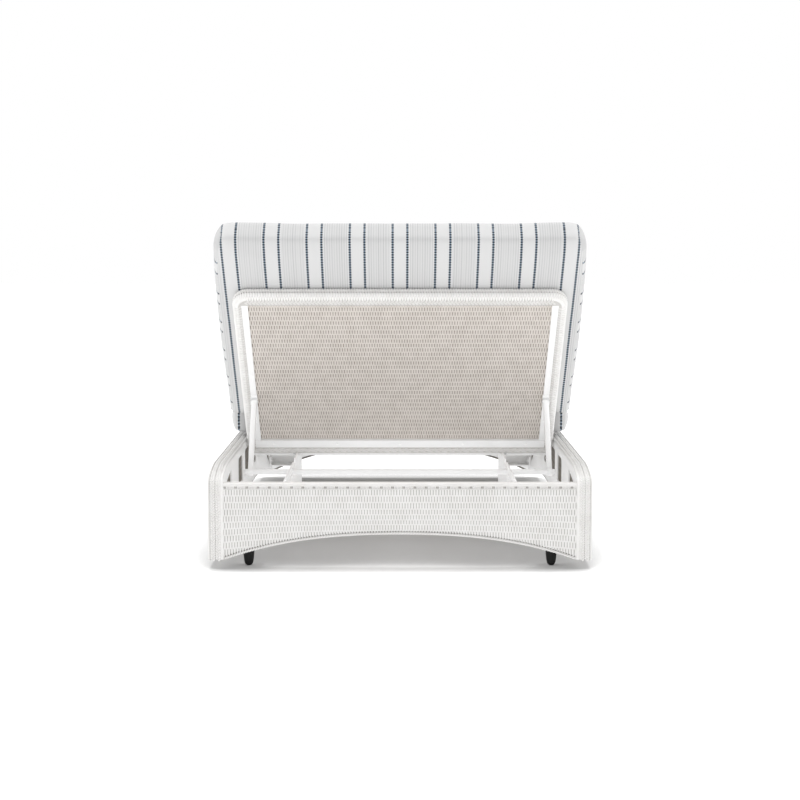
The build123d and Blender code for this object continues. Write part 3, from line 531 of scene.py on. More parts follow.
def smooth(piece, degrees):
    select_only(piece)
    bpy.ops.object.shade_smooth_by_angle(angle=radians(degrees))
    return piece


def dressed(piece, body, slot, material, *replaced):
    """Gives a finished piece its material and body, and hides the nodes it stands for; the slot is
    not used.
    """
    if material is not None:
        piece.data.materials.clear()
        piece.data.materials.append(material)
    if replaced:
        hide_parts(*replaced)
    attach(piece, body)
    return piece


def base_trim(piece, material):
    """Dresses a strand, roll or stitch of the base."""
    return dressed(piece, "base", "white_wicker", material)


def points_of(mesh):
    flat = np.empty(len(mesh.vertices) * 3)
    mesh.vertices.foreach_get("co", flat)
    return flat.reshape(-1, 3)


def put_points(mesh, at):
    mesh.vertices.foreach_set("co", np.ravel(at))
    mesh.update()


def corners_of(mesh):
    """The point at each corner of each face, in order."""
    corner = np.empty(len(mesh.loops), int)
    mesh.loops.foreach_get("vertex_index", corner)
    return corner


def copy_of(node, name):
    """A merged copy of a CAD node's mesh, in place."""
    mesh = nodes[node].data.copy()
    mesh.transform(nodes[node].matrix_world)
    mesh.materials.clear()
    return mended(linked(name, mesh), flat=radians(0.5))


def eased(node, name, width, segments=2):
    """A copy of a CAD node with its sharp edges eased."""
    piece = copy_of(node, name)
    applied(
        piece,
        "BEVEL",
        width=width,
        segments=segments,
        limit_method="ANGLE",
        angle_limit=radians(ROUND_METAL),
        use_clamp_overlap=True,
    )
    return smooth(piece, ROUND_METAL)


def even(points, step):
    """Points at even steps along a line of points."""
    points = np.asarray(points, float)
    run = np.concatenate(([0], np.cumsum(np.linalg.norm(np.diff(points, axis=0), axis=1))))
    count = max(2, round(run[-1] / step) + 1)
    at = np.linspace(0, run[-1], count)
    return np.stack([np.interp(at, run, points[:, k]) for k in range(points.shape[1])], axis=1)


def along_line(points):
    """Unit directions along a line of points."""
    turns = np.gradient(points, axis=0)
    return turns / np.linalg.norm(turns, axis=1)[:, None]


def spread(ways, count):
    """One direction for each of count places along a line, from one or from a row of them."""
    ways = np.atleast_2d(np.asarray(ways, float))
    at = np.linspace(0, 1, count)
    old = np.linspace(0, 1, len(ways))
    ways = np.stack([np.interp(at, old, ways[:, k]) for k in range(3)], axis=1)
    return ways / np.linalg.norm(ways, axis=1)[:, None]


def flat_strands(name, count, rows):
    """Flat strands side by side, one unit wide and tall, and the number of points of one."""
    bpy.ops.object.select_all(action="DESELECT")
    bpy.ops.mesh.primitive_grid_add(
        x_subdivisions=STRAND_CUTS, y_subdivisions=rows * ROW_CUTS, size=1
    )
    field = bpy.context.object
    field.name = field.data.name = name
    one = len(field.data.vertices)
    applied(
        field,
        "ARRAY",
        count=count,
        use_relative_offset=False,
        use_constant_offset=True,
        constant_offset_displace=(1, 0, 0),
    )
    return field, one


def trimmed(field, up, outward):
    """Deletes a field's faces that have no height left and turns the others outwards."""
    heights = up[corners_of(field.data).reshape(-1, 4)]
    lost = np.nonzero(np.ptp(heights, axis=1) < NO_HEIGHT)[0]
    shape = bmesh.new()
    shape.from_mesh(field.data)
    shape.faces.ensure_lookup_table()
    bmesh.ops.delete(shape, geom=[shape.faces[k] for k in lost], context="FACES")
    wrong = [face for face in shape.faces if face.normal.dot(outward) < 0]
    bmesh.ops.reverse_faces(shape, faces=wrong)
    shape.to_mesh(field.data)
    shape.free()


def woven_field(name, origin, ways, width, height, row, reach, drawn=0.0):
    """Strands that go over and under in staggered rows, each between its reach.

    The ways are across, upward and outward. Rows draw together over an arch by drawn, 0 to 1.
    """
    across, upward, outward = ways
    count = round(width / STRAND)
    rows = ceil(height / row)
    field, one = flat_strands(name, count, rows)
    at = points_of(field.data)
    strand = np.arange(len(at)) // one
    side = (at[:, 0] - strand) * 2
    low, top = reach((np.arange(count) + 0.5) * STRAND)
    low = np.broadcast_to(low, count)
    top = np.maximum(np.broadcast_to(top, count), low)

    raised = (drawn * (low - low.min()) / max(np.ptp(low), row))[strand]
    full_drop = (0.5 - at[:, 1]) * rows * row
    drawn_up = np.clip((full_drop - DRAW_FROM) / DRAW_RUN, 0, 1)
    drop = full_drop * (1 - DRAW_SHARE * raised * drawn_up)
    up = np.clip(rows * row - drop, low[strand], top[strand])
    drop = rows * row - up
    let_down = np.clip((drop - DRAW_FROM) / UNDRAW_RUN, 0, 1)
    rank = (rows * row - drop * (1 + UNDRAW_SHARE * raised * let_down)) / row

    sway = chance.normal(0, SWAY, count)[strand]
    swell = chance.normal(1, SWELL, count)[strand]
    turn = 0.5 + 0.5 * np.cos(pi * (rank + strand + 0.5))
    over = np.clip((turn - CROSS_TURN) / (0.5 - CROSS_TURN), 0, 1)
    over = over * over * (3 - 2 * over)
    full = np.maximum(2 * turn - 1, 0)
    half = UNDER_HALF + (CROSS_HALF - UNDER_HALF) * over + (OVER_HALF - CROSS_HALF) * full
    out = (CROSS_LIFT + UNDER_SINK) * over + (OVER_LIFT - CROSS_LIFT) * full
    out = out * swell - UNDER_SINK - EDGE_DROP * side**2
    over_x = (strand + 0.5) * STRAND + side * half + sway
    at = origin + np.outer(over_x, across) + np.outer(up, upward) + np.outer(out, outward)
    put_points(field.data, at)
    trimmed(field, up, outward)
    return smooth(field, ROUND_STRANDS)


def bead_shape():
    """Points and faces of one swollen strand end, of radius 1."""
    bpy.ops.object.select_all(action="DESELECT")
    bpy.ops.mesh.primitive_uv_sphere_add(segments=6, ring_count=4, radius=1)
    bead = bpy.context.object
    points = points_of(bead.data)[:, (2, 0, 1)]
    faces = [tuple(face.vertices) for face in bead.data.polygons]
    bpy.data.objects.remove(bead)
    return points, faces


BEAD_POINTS, BEAD_FACES = bead_shape()


def beads(name, centres, along, across, out, size):
    """Small swollen strand ends at the given centres, of size (length, breadth, height) halves."""
    shape = (
        along[:, None, :] * (BEAD_POINTS[None, :, 0:1] * size[0])
        + across[:, None, :] * (BEAD_POINTS[None, :, 1:2] * size[1])
        + out[:, None, :] * (BEAD_POINTS[None, :, 2:3] * size[2])
    )
    points = (centres[:, None, :] + shape).reshape(-1, 3)
    one = len(BEAD_POINTS)
    faces = [tuple(v + k * one for v in face) for k in range(len(centres)) for face in BEAD_FACES]
    return smooth(from_points(name, points, faces), ROUND_STRANDS)


def lane(line, out, pitch, slant, between=False, aside=0.0):
    """Places for slanted strands along a line: centres, and along, across and out of each."""
    spots = even(line, pitch)
    if between:
        spots = (spots[1:] + spots[:-1]) / 2
    way = along_line(spots)
    up = spread(out, len(spots))
    across = np.cross(up, way)
    slanted = way * cos(slant) + across * sin(slant)
    beside = across * cos(slant) - way * sin(slant)
    return spots + across * aside, slanted, beside, up


def strung(name, line, out, pitch, size, slant=0.0):
    """Strands one after another along a line."""
    return beads(name, *lane(line, out, pitch, slant), size)


def plait(name, line, out, pitch, width, size, slant):
    """A flat plait along a line: two lanes of slanted strands that lean together."""
    one = lane(line, out, pitch, -slant, False, -width / 4)
    other = lane(line, out, pitch, slant, True, width / 4)
    return beads(name, *map(np.concatenate, zip(one, other)), size)


def swept(name, line, across, out, profile):
    """A band along a line of points with a closed profile (across, out), or one at each point."""
    profile = np.asarray(profile)
    across = np.broadcast_to(across, line.shape)
    out = np.broadcast_to(out, line.shape)
    points = (
        line[:, None, :]
        + across[:, None, :] * profile[..., 0:1]
        + out[:, None, :] * profile[..., 1:2]
    ).reshape(-1, 3)
    ring = profile.shape[-2]
    last = (len(line) - 1) * ring
    faces = [
        (start + j, start + (j + 1) % ring, start + ring + (j + 1) % ring, start + ring + j)
        for start in range(0, last, ring)
        for j in range(ring)
    ]
    faces.append(tuple(range(ring)))
    faces.append(tuple(range(last, last + ring)))
    return smooth(from_points(name, points, faces), ROUND_BANDS)


def half_round(half, height, steps=8, fullness=0.8, sunk=0.001):
    """A half-round profile whose flat lies a little below the surface."""
    turns = np.linspace(0, pi, steps + 1)
    crown = [(-half * cos(turn), height * sin(turn) ** fullness) for turn in turns]
    return [*crown, (half, -sunk), (-half, -sunk)]


# Outlines read from the woven solids
def outline_of(node, axis, level):
    """The (Y or X, Z) corners of a node's outer face."""
    at = points_of(nodes[node].data)
    on_face = at[np.abs(at[:, axis] - level) < ON_FACE]
    return np.unique(np.round(on_face[:, (1 - axis, 2)], 5), axis=0)


def arch_line(corners):
    """The arched lower edge, as a line of points from one leg to the other."""
    low = corners[corners[:, 1] < ARCH_BELOW]
    return low[np.argsort(low[:, 0])]


side_corners = outline_of("side_skin_right", 0, HALF_WIDTH)
at_ends = np.abs(side_corners[:, 0]) > HALF_LENGTH - NEAR
upper = side_corners[(side_corners[:, 1] > ARCH_BELOW) | at_ends]
side_edge = even(
    upper[np.lexsort((upper[:, 1] * -np.sign(upper[:, 0]), upper[:, 0]))], EDGE_STEP
)
side_arch = arch_line(side_corners[~at_ends])
head_arch = arch_line(outline_of("head_skirt", 1, -SKIRT_FACE))
foot_arch = arch_line(outline_of("foot_skirt", 1, SKIRT_FACE))

edge_way = along_line(side_edge)
edge_out = np.stack([-edge_way[:, 1], edge_way[:, 0]], axis=1)
rim_out = np.column_stack([np.zeros(len(edge_out)), edge_out])


def shell(node, name, width, axis, side):
    """A woven skin's own solid with rounded edges: its rim, face and inside each in a finish; the
    face under the strands and the inside are in darker wicker, painted shade.
    """
    piece = eased(node, name, width, segments=3)
    for material in (WICKER_TWILL, WICKER_UNDER_SHADE, WICKER_INSIDE_SHADE):
        piece.data.materials.append(material)
    for face in piece.data.polygons:
        outward = face.normal[axis] * side
        face.material_index = 2 if outward < -FACING else int(outward > FACING)
    return piece


def arch_rope(rope_name, hole_shade_name, line, out):
    """The twisted rope along an arch, and dark beads above it that paint the shade in its stitch
    holes.
    """
    base_trim(strung(rope_name, line, out, ROPE_PITCH, ROPE_SIZE, ROPE_LEAN), WICKER)
    above = line + out * ROPE_DOTS_OUT + Z * ROPE_DOTS_UP
    base_trim(strung(hole_shade_name, above, out, STRAND * 2, ROPE_DOT), WICKER_GAP_SHADE)


# Sides: rounded shell, lining, woven field, edge roll, rim, corner strip and arch rope
def on_side(side, inward, line):
    """Points on a side, from points (along, up)."""
    return np.column_stack([np.full(len(line), side * (HALF_WIDTH - inward)), line])


def side_lining(word, side):
    """The inner face of a side skin, set in to the frame's windows; its dark finish is painted
    shade.
    """
    lining = copy_of(f"side_skin_{word}", f"side_lining_{word}")
    inside = side * (HALF_WIDTH - SKIN)
    shape = bmesh.new()
    shape.from_mesh(lining.data)
    lost = [face for face in shape.faces if abs(face.calc_center_median().x - inside) > NEAR]
    bmesh.ops.delete(shape, geom=lost, context="FACES")
    bmesh.ops.translate(shape, verts=shape.verts, vec=(-side * LINING_IN, 0, 0))
    shape.to_mesh(lining.data)
    shape.free()
    return lining


def side_reach(along):
    """Where a side's strands begin and end, above the leg's bottom."""
    along = along - HALF_LENGTH
    low = np.interp(along, side_arch[:, 0], side_arch[:, 1], LEG_BOTTOM, LEG_BOTTOM)
    top = np.interp(along, side_edge[:, 0], side_edge[:, 1]) - SIDE_DROP
    top = np.where(np.abs(along) < HALF_LENGTH - SIDE_ROUND, top, 0)
    return low + ROPE_BAND - LEG_BOTTOM, top - LEG_BOTTOM


def side_rim(word, side):
    """Plaits, dark dots of painted shade between strands, and the joint bead of the rim on a
    side's edge.
    """
    for number, from_edge in enumerate(RIM_PLAIT_FROM_EDGE):
        line = on_side(side, from_edge, side_edge)
        name = f"rim_plait_{word}_{number}"
        pitch = STRAND * 2
        braid = plait(name, line, rim_out, pitch, RIM_PLAIT_WIDTH, RIM_STRAND, RIM_SLANT)
        base_trim(braid, WICKER)
    for number, from_edge in enumerate(RIM_DOTS_FROM_EDGE):
        line = on_side(side, from_edge, side_edge)
        dots = strung(f"rim_gap_shade_{word}_{number}", line, rim_out, RIM_DOT_PITCH, RIM_DOT)
        base_trim(dots, WICKER_GAP_SHADE)
    line = on_side(side, RIM, side_edge - edge_out * RIM_JOINT_DOWN)
    joint = swept(f"rim_joint_{word}", line, -side * X, rim_out, half_round(*RIM_JOINT))
    base_trim(joint, WICKER)


def corner_strip(word, side):
    """The strip that covers the joint of a side and the head skirt, and its dots of painted shade.
    """
    across, up = np.linspace(STRIP_LOW, STRIP_TOP, STRIP_STEPS).T
    line = on_skirt(-1, side * across, up)
    base_trim(swept(f"corner_strip_{word}", line, X, -Y, half_round(*STRIP)), WICKER)
    line = line - (side * STRIP_DOTS_IN, STRIP_DOTS_OUT, 0)
    base_trim(strung(f"corner_gap_shade_{word}", line, -Y, STRAND * 2, STRIP_DOT), WICKER_UNDER_SHADE)


def build_side(word, side):
    node = f"side_skin_{word}"
    skin = shell(node, f"side_shell_{word}", SIDE_EASE, 0, side)
    dressed(skin, "base", "white_wicker", None, node)
    base_trim(side_lining(word, side), LINING_SHADE)

    start = np.array((side * (HALF_WIDTH + FIELD_LIFT), -HALF_LENGTH, LEG_BOTTOM))
    ways = (Y, Z, side * X)
    height = RAIL_TOP - LEG_BOTTOM
    name = f"side_weave_{word}"
    base_trim(woven_field(name, start, ways, 2 * HALF_LENGTH, height, ROW, side_reach), WICKER)

    half, lift = SIDE_ROLL
    line = on_side(side, 0, side_edge - edge_out * half)
    roll = swept(f"side_roll_{word}", line, rim_out, side * X, half_round(half, lift))
    base_trim(roll, WICKER)
    side_rim(word, side)
    corner_strip(word, side)
    line = on_side(side, 0, side_arch + (0, SIDE_ROPE_UP))
    arch_rope(f"side_rope_{word}", f"side_rope_dots_{word}", line, side * X)


# Head and foot skirts: rounded shell, woven field, top roll, stitches and arch rope
def on_skirt(end, across, up, lift=0.0):
    """Points on a skirt's face, or lifted off it."""
    return np.column_stack(np.broadcast_arrays(across, end * (SKIRT_FACE + lift), up))


def skirt_roll(word, end, top):
    """The roll along a skirt's top edge, wound with strand."""
    across = np.arange(-SKIRT_HALF, SKIRT_HALF, STRAND / 2)
    swelling = WINDING[np.arange(len(across)) % 2]
    sections = ROLL_PROFILE + swelling[:, None, None] * ROLL_OUTER[:, None] * WINDING_SHARE
    return swept(f"{word}_roll", on_skirt(end, across, top), Z, end * Y, sections)


def skirt_stitches(word, end, top):
    """Stitches under the roll, with dark beads of painted shade for the holes where two in each
    repeat are left out, and for the dots below.
    """
    across = np.arange(-SKIRT_HALF + STRAND, SKIRT_HALF, STRAND)
    turn = np.arange(len(across)) % STITCH_REPEAT
    for name, shown, drop, size, finish in (
        ("stitches", turn > 1, STITCH_DROP, STITCH, WICKER),
        ("stitch_hole_shade", turn < 2, STITCH_HOLE_DROP, STITCH_HOLE, WICKER_GAP_SHADE),
        ("stitch_dot_shade", turn % 2 > 0, STITCH_DOT_DROP, STITCH_DOT, WICKER_UNDER_SHADE),
    ):
        spots = on_skirt(end, across[shown], top - drop, STITCH_LIFT)
        ways = (np.broadcast_to(way, spots.shape) for way in (Z, X, end * Y))
        base_trim(beads(f"{word}_{name}", spots, *ways, size), finish)


def build_skirt(word, end, top, arch):
    skin = shell(f"{word}_skirt", f"{word}_skirt_shell", SKIRT_EASE, 1, end)
    dressed(skin, "base", "white_wicker", None, f"{word}_skirt")

    field_top = top - FIELD_DROP
    height = ceil((field_top - LEG_BOTTOM) / ROW) * ROW
    start = np.array((-SKIRT_HALF, end * (SKIRT_FACE + FIELD_LIFT), field_top - height))

    def reach(across):
        low = np.interp(across - SKIRT_HALF, arch[:, 0], arch[:, 1])
        return low + ROPE_BAND - start[2], height

    ways = (X, Z, end * Y)
    name = f"{word}_weave"
    field = woven_field(name, start, ways, 2 * SKIRT_HALF, height, ROW, reach, drawn=1.0)
    base_trim(field, WICKER)
    base_trim(skirt_roll(word, end, top), WICKER_TWILL)
    skirt_stitches(word, end, top)
    line = on_skirt(end, arch[:, 0], arch[:, 1] + SKIRT_ROPE_UP)
    arch_rope(f"{word}_rope", f"{word}_rope_dots", line, end * Y)


build_side("left", -1)
build_side("right", 1)
build_skirt("head", -1, HEAD_TOP, head_arch)
build_skirt("foot", 1, FOOT_TOP, foot_arch)


# Back: a woven border with a rounded, bound edge, a woven panel and white retainers
def on_back(across, up, out):
    """Points of the back: across, up along it from the hinge and out of its rear face."""
    across, up, out = np.broadcast_arrays(across, up, out)
    return HINGE + np.outer(across, X) + np.outer(up, BACK_UP) + np.outer(out, BACK_OUT)


def back_trim(piece, material):
    """Dresses a strand or plait of the back."""
    return dressed(piece, "back", "white_wicker", material)


arc_turns = np.linspace(0, pi / 2, ARC_STEPS)
arc_x = BACK_HALF - BACK_CORNER + BACK_CORNER * np.cos(arc_turns)
arc_up = BACK_TOP - BACK_CORNER + BACK_CORNER * np.sin(arc_turns)
side_x = np.full(RUN_STEPS, BACK_HALF)
side_up = np.linspace(BACK_LOW, arc_up[0], RUN_STEPS + 1)[:-1]
top_x = np.linspace(arc_x[-1], -arc_x[-1], RUN_STEPS + 2)[1:-1]
top_up = np.full(RUN_STEPS, BACK_TOP)
edge_x = np.concatenate((side_x, arc_x, top_x, -arc_x[::-1], -side_x))
edge_up = np.concatenate((side_up, arc_up, top_up, arc_up[::-1], side_up[::-1]))


def border_profile(width):
    """The border's section from its outer edge inwards, rounded at the edge."""
    low = BACK_FACE - BACK_ROUND
    rear = [
        (BACK_ROUND * (1 - sin(turn)), low + BACK_ROUND * cos(turn))
        for turn in np.linspace(0, pi / 2, ROUND_STEPS)
    ]
    front = [(across, -out) for across, out in reversed(rear)]
    return [(width, BACK_FACE), *rear, *front, (width, -BACK_FACE)]


def back_border():
    """The border up one side, round the corners and down the other, wider along the top."""
    corner_out = np.outer(np.cos(arc_turns), X) + np.outer(np.sin(arc_turns), BACK_UP)
    outward = np.concatenate(
        (
            np.tile(X, (RUN_STEPS, 1)),
            corner_out,
            np.tile(BACK_UP, (RUN_STEPS, 1)),
            corner_out[::-1] * (-1, 1, 1),
            np.tile(-X, (RUN_STEPS, 1)),
        )
    )
    to_side = (arc_x - BACK_HALF + BORDER_SIDE) / np.maximum(np.cos(arc_turns), ALMOST_NONE)
    to_top = (arc_up - BACK_TOP + BORDER_TOP) / np.maximum(np.sin(arc_turns), ALMOST_NONE)
    widths = np.clip(np.maximum(to_side, to_top), BORDER_SIDE, BORDER_TOP)
    bend = [border_profile(width) for width in widths]
    narrow = [border_profile(BORDER_SIDE)] * RUN_STEPS
    wide = [border_profile(BORDER_TOP)] * RUN_STEPS
    sections = narrow + bend + wide + bend[::-1] + narrow
    border = swept("back_border", on_back(edge_x, edge_up, 0.0), -outward, BACK_OUT, sections)
    # The flat faces in darker wicker paint the shade between the twill strands; the rounded edge
    # in lighter wicker is painted light
    border.data.materials.append(WICKER_LOW_SHADE)
    border.data.materials.append(WICKER_ROUND_LIT)
    for face in border.data.polygons:
        face.material_index = int(abs(np.dot(face.normal, BACK_OUT)) < FLAT_ON)
    return border


def binding_row(degrees, from_middle, shift):
    """Places round the back's edge for loops: centres, and along, across and out of each."""
    bound = even(np.stack([edge_x, edge_up], axis=1), STRAND * 2)
    way = along_line(bound)
    edge_ways = np.outer(way[:, 1], X) - np.outer(way[:, 0], BACK_UP)
    along = np.outer(way[:, 0], X) + np.outer(way[:, 1], BACK_UP)
    turn = radians(degrees)
    ring = on_back(bound[:, 0], bound[:, 1], (BACK_FACE - BACK_ROUND) * from_middle)
    out = edge_ways * sin(turn) + BACK_OUT * cos(turn)
    centres = ring - edge_ways * BACK_ROUND + out * BACK_ROUND + along * (shift * STRAND)
    return centres, edge_ways * cos(turn) - BACK_OUT * sin(turn), along, out


def back_binding():
    """The loops that bind the back's edge in lighter wicker as painted light, with dark beads of
    painted shade for the holes and dots between them.
    """
    loops = zip(*(binding_row(*row) for row in LOOP_ROWS))
    back_trim(beads("back_binding", *map(np.concatenate, loops), BINDING_LOOP), WICKER_LOOPS_LIT)
    for name, row, size, finish in (
        ("back_binding_hole_shade_edge", HOLE_ROW, BINDING_HOLE, WICKER_GAP_SHADE),
        ("back_binding_dot_shade", DOT_ROW, BINDING_DOT, WICKER_UNDER_SHADE),
    ):
        back_trim(beads(name, *binding_row(*row), size), finish)


def back_twill():
    """Slanted strands on the border's face."""
    for word, across, up, strands in (
        ("left", -BACK_HALF + TWILL_SIDE_IN, TWILL_SIDE_RUN, TWILL),
        ("right", BACK_HALF - TWILL_SIDE_IN, TWILL_SIDE_RUN, TWILL),
        ("foot", TWILL_FOOT_RUN, BACK_END + TWILL_FOOT_UP, LONG_TWILL),
        ("head", TWILL_HEAD_RUN, BACK_TOP - TWILL_HEAD_DOWN, TWILL),
    ):
        line = on_back(across, up, BACK_FACE)
        back_trim(plait(f"back_twill_{word}", line, BACK_OUT, *strands), WICKER_TWILL)


def back_weave():
    """The panel's strands, which fill the frame of border and retainers."""
    half = BACK_HALF - BORDER_SIDE - RETAINER_SIDE - PANEL_SIDE_PLAY
    low = RETAINER_FOOT_TOP + PANEL_LOW_PLAY
    height = BACK_TOP - BORDER_TOP - low
    rear = float(((points_of(nodes["back_panel"].data) - HINGE) @ BACK_OUT).max())
    start = HINGE - X * half + BACK_UP * low + BACK_OUT * (rear + UNDER_SINK * PANEL_SINK_SHARE)
    ways = (X, BACK_UP, BACK_OUT)
    return woven_field(
        "back_weave", start, ways, 2 * half, height, PANEL_ROW, lambda across: (0, height)
    )


dressed(back_border(), "back", "white_wicker", None, "wrap_left", "wrap_right", "wrap_head")
back_binding()
foot_wrap = eased("wrap_foot", "back_wrap_foot", WRAP_EASE, segments=3)
# The foot wrap is in darker wicker, painted shade between the twill strands on it
dressed(foot_wrap, "back", "white_wicker", WICKER_LOW_SHADE, "wrap_foot")
back_twill()
panel = eased("back_panel", "back_panel_core", PANEL_EASE, segments=1)
# The panel's core under the strands is in painted shade
dressed(panel, "back", "taupe_weave", TAUPE_UNDER_SHADE, "back_panel")
dressed(back_weave(), "back", "taupe_weave", TAUPE)

# Feet: tapered, with a rounded tip; rings as shares of a foot's height and half width
FOOT_SIDES = 32
FOOT_RINGS = (
    (0.0, 0.30),
    (0.03, 0.52),
    (0.09, 0.72),
    (0.18, 0.84),
    (0.32, 0.92),
    (0.6, 1.02),
    (0.9, 1.10),
    (1.0, 1.12),
)


def foot_tip(word):
    """A foot drawn up from its tip, ring by ring."""
    at = points_of(nodes[f"leg_tip_{word}"].data)
    low, high = at.min(axis=0), at.max(axis=0)
    half = (high[0] - low[0]) / 2
    tall = high[2] - low[2]
    middle = Vector(((low[0] + high[0]) / 2, (low[1] + high[1]) / 2, low[2]))
    bpy.ops.object.select_all(action="DESELECT")
    bpy.ops.mesh.primitive_circle_add(
        vertices=FOOT_SIDES, radius=FOOT_RINGS[0][1] * half, fill_type="NGON", location=middle
    )
    tip = bpy.context.object
    tip.name = tip.data.name = f"foot_tip_{word}"
    bpy.ops.object.transform_apply(location=True, rotation=False, scale=False)
    bpy.ops.object.mode_set(mode="EDIT")
    for (below, thin), (above, thick) in zip(FOOT_RINGS, FOOT_RINGS[1:]):
        rise = (0, 0, (above - below) * tall)
        bpy.ops.mesh.extrude_region_move(TRANSFORM_OT_translate={"value": rise})
        wider = thick / thin
        bpy.ops.transform.resize(value=(wider, wider, 1), center_override=middle)
    bpy.ops.object.mode_set(mode="OBJECT")
    return smooth(mended(tip), ROUND_BANDS)


for word in ("head_left", "head_right", "foot_left", "foot_right"):
    dressed(foot_tip(word), "base", "black_plastic", BLACK, f"leg_tip_{word}")

# Coated metal, eased along its edges
for names, body, width, coat in (
    (("side_frame_left", "side_frame_right"), "base", 0.0012, COAT),
    (("head_frame", "foot_frame"), "base", 0.0012, COAT),
    (("rack_left", "rack_right"), "base", 0.0008, COAT),
    (("retainer_left", "retainer_right"), "back", 0.0012, COAT_SHADED),
    (("retainer_bottom",), "back", 0.0020, COAT_SHADED),
    (("prop_lug_left", "prop_lug_right"), "back", 0.0005, COAT),
    (("prop_arm_left", "prop_arm_right"), "prop", 0.0025, COAT),
):
    for node in names:
        dressed(eased(node, f"{node}_coated", width), body, "white_metal", coat, node)

# The other solids keep their shape and get their finish; some screws and bolts are coated too
FINISHES = {
    "white_metal": COAT,
    "white_wicker": WICKER,
    "taupe_weave": DECK_SHADE,
    "black_plastic": BLACK,
    "white_plastic": CAP,
    "steel": STEEL,
    "nylon": NYLON,
    "striped_cloth": TICKING,
}
COATED_TOO = ("retainer_screws", "bracket_bolts")
for part in frame["record"]["subparts"]:
    solid = nodes[part["node"]]
    finish = COAT if part["node"] in COATED_TOO else FINISHES[part["material_slot"]]
    solid.data.materials.clear()
    solid.data.materials.append(finish)

# Cushions: stuffed cloth with sewn boxing
VOXEL = 0.012
SIM_FRAMES = 20
SLACK = 0.010
PUFF_MOST = 0.022
WIDTH_SPOTS = 40
SEAM_IN = 0.014
SEAM_DEEP = 0.0014
SEAM_SOFT = 0.003
SEAM = 1 - SEAM_IN / CUSHION_HALF

# Seat cushion: wider at its head end, its stripes drawn in, clear of the rail
SEAT_HEAD_RUN = 0.09
SEAT_HEAD_WIDER = 0.026
SEAT_STRIPES = 0.978
SEAT_CLEAR = 0.0004

# Back cushion: longer, its top corners drawn in, its lower end wider, clear of the back
BACK_CLEAR = 0.0003
BACK_FRONT = -(BACK_FACE + BACK_CLEAR)
BACK_LONGER = 0.017
BACK_END_FROM = 0.05
BACK_END_RUN = 0.04
BACK_END_ROUNDS = 12
CORNER_FROM = 0.05
CORNER_RUN = 0.06
CORNER_DEEP = 0.065
CORNER_LEAST = 0.3
CORNER_IN = 0.024
LOW_RUN = 0.25
LOW_WIDER = 0.010
LEAN_OVER = 0.004
BACK_BOXING = (0.013, 0.913)
SEAT_BOXING = (0.0, 2.0)


def fitted(pad, axes, low, high):
    """Stretches a pad along its own axes to reach from low to high."""
    at = points_of(pad.data) @ axes.T
    at = low + (at - at.min(axis=0)) * ((high - low) / (at.max(axis=0) - at.min(axis=0)))
    put_points(pad.data, at @ axes)


def width_along(at, run, spots):
    """A pad's half width at each spot along it."""
    nearest = np.abs(run[:, None] - spots[None, :]).argmin(axis=1)
    wide = np.array([np.abs(at[nearest == k, 0]).max() for k in range(len(spots))])
    return np.convolve(np.pad(wide, 2, mode="edge"), np.ones(5) / 5, mode="valid")


def puffed(pad):
    """Points of a pad after its cloth is blown up by pressure."""
    select_only(pad)
    cloth = pad.modifiers.new("stuffing", "CLOTH")
    cloth.settings.quality = 5
    cloth.settings.use_pressure = True
    cloth.settings.uniform_pressure_force = 4
    cloth.settings.effector_weights.gravity = 0
    cloth.settings.tension_stiffness = 20
    cloth.settings.bending_stiffness = 2
    cloth.point_cache.frame_start = 1
    cloth.point_cache.frame_end = SIM_FRAMES
    for step in range(1, SIM_FRAMES + 1):
        bpy.context.scene.frame_set(step)
    blown = points_of(pad.evaluated_get(bpy.context.evaluated_depsgraph_get()).to_mesh())
    pad.modifiers.remove(cloth)
    bpy.context.scene.frame_set(1)
    return blown


def stuffed(node, name, axes, longer):
    """A cushion's solid made smaller, blown up as stuffed cloth and kept to its cut width."""
    pad = copy_of(node, name)
    at = points_of(pad.data) @ axes.T
    low, high = at.min(axis=0), at.max(axis=0)
    fitted(pad, axes, low + SLACK, high - SLACK)
    applied(pad, "REMESH", mode="VOXEL", voxel_size=VOXEL)
    slack = points_of(pad.data)
    fitted(pad, axes, low, high)
    at = points_of(pad.data)
    spots = np.linspace(low[1], high[1], WIDTH_SPOTS)
    cut = width_along(at, at @ axes[1], spots)
    put_points(pad.data, slack)
    move = puffed(pad) - slack
    far = np.linalg.norm(move, axis=1)
    move *= np.minimum(1, PUFF_MOST / np.maximum(far, ALMOST_NONE))[:, None]
    put_points(pad.data, slack + move)
    applied(pad, "SMOOTH", factor=0.5, iterations=4)
    fitted(pad, axes, low, high)
    at = points_of(pad.data)
    run = at @ axes[1]
    at[:, 0] *= np.interp(run, spots, cut / width_along(at, run, spots))
    at += np.outer(longer * np.clip((run - low[1]) / (high[1] - low[1]), 0, 1), axes[1])
    put_points(pad.data, at)
    return pad


def cut_seams(pad, half_width):
    """Cuts edges into a pad where its boxing is sewn on, a constant share of its half width."""
    at = points_of(pad.data)
    at[:, 0] /= half_width(at)
    put_points(pad.data, at)
    shape = bmesh.new()
    shape.from_mesh(pad.data)
    for turn in (-1, 1):
        bmesh.ops.bisect_plane(
            shape,
            geom=shape.verts[:] + shape.edges[:] + shape.faces[:],
            plane_co=(turn * SEAM, 0, 0),
            plane_no=(turn, 0, 0),
        )
    shape.to_mesh(pad.data)
    shape.free()
    at = points_of(pad.data)
    at[:, 0] *= half_width(at)
    put_points(pad.data, at)


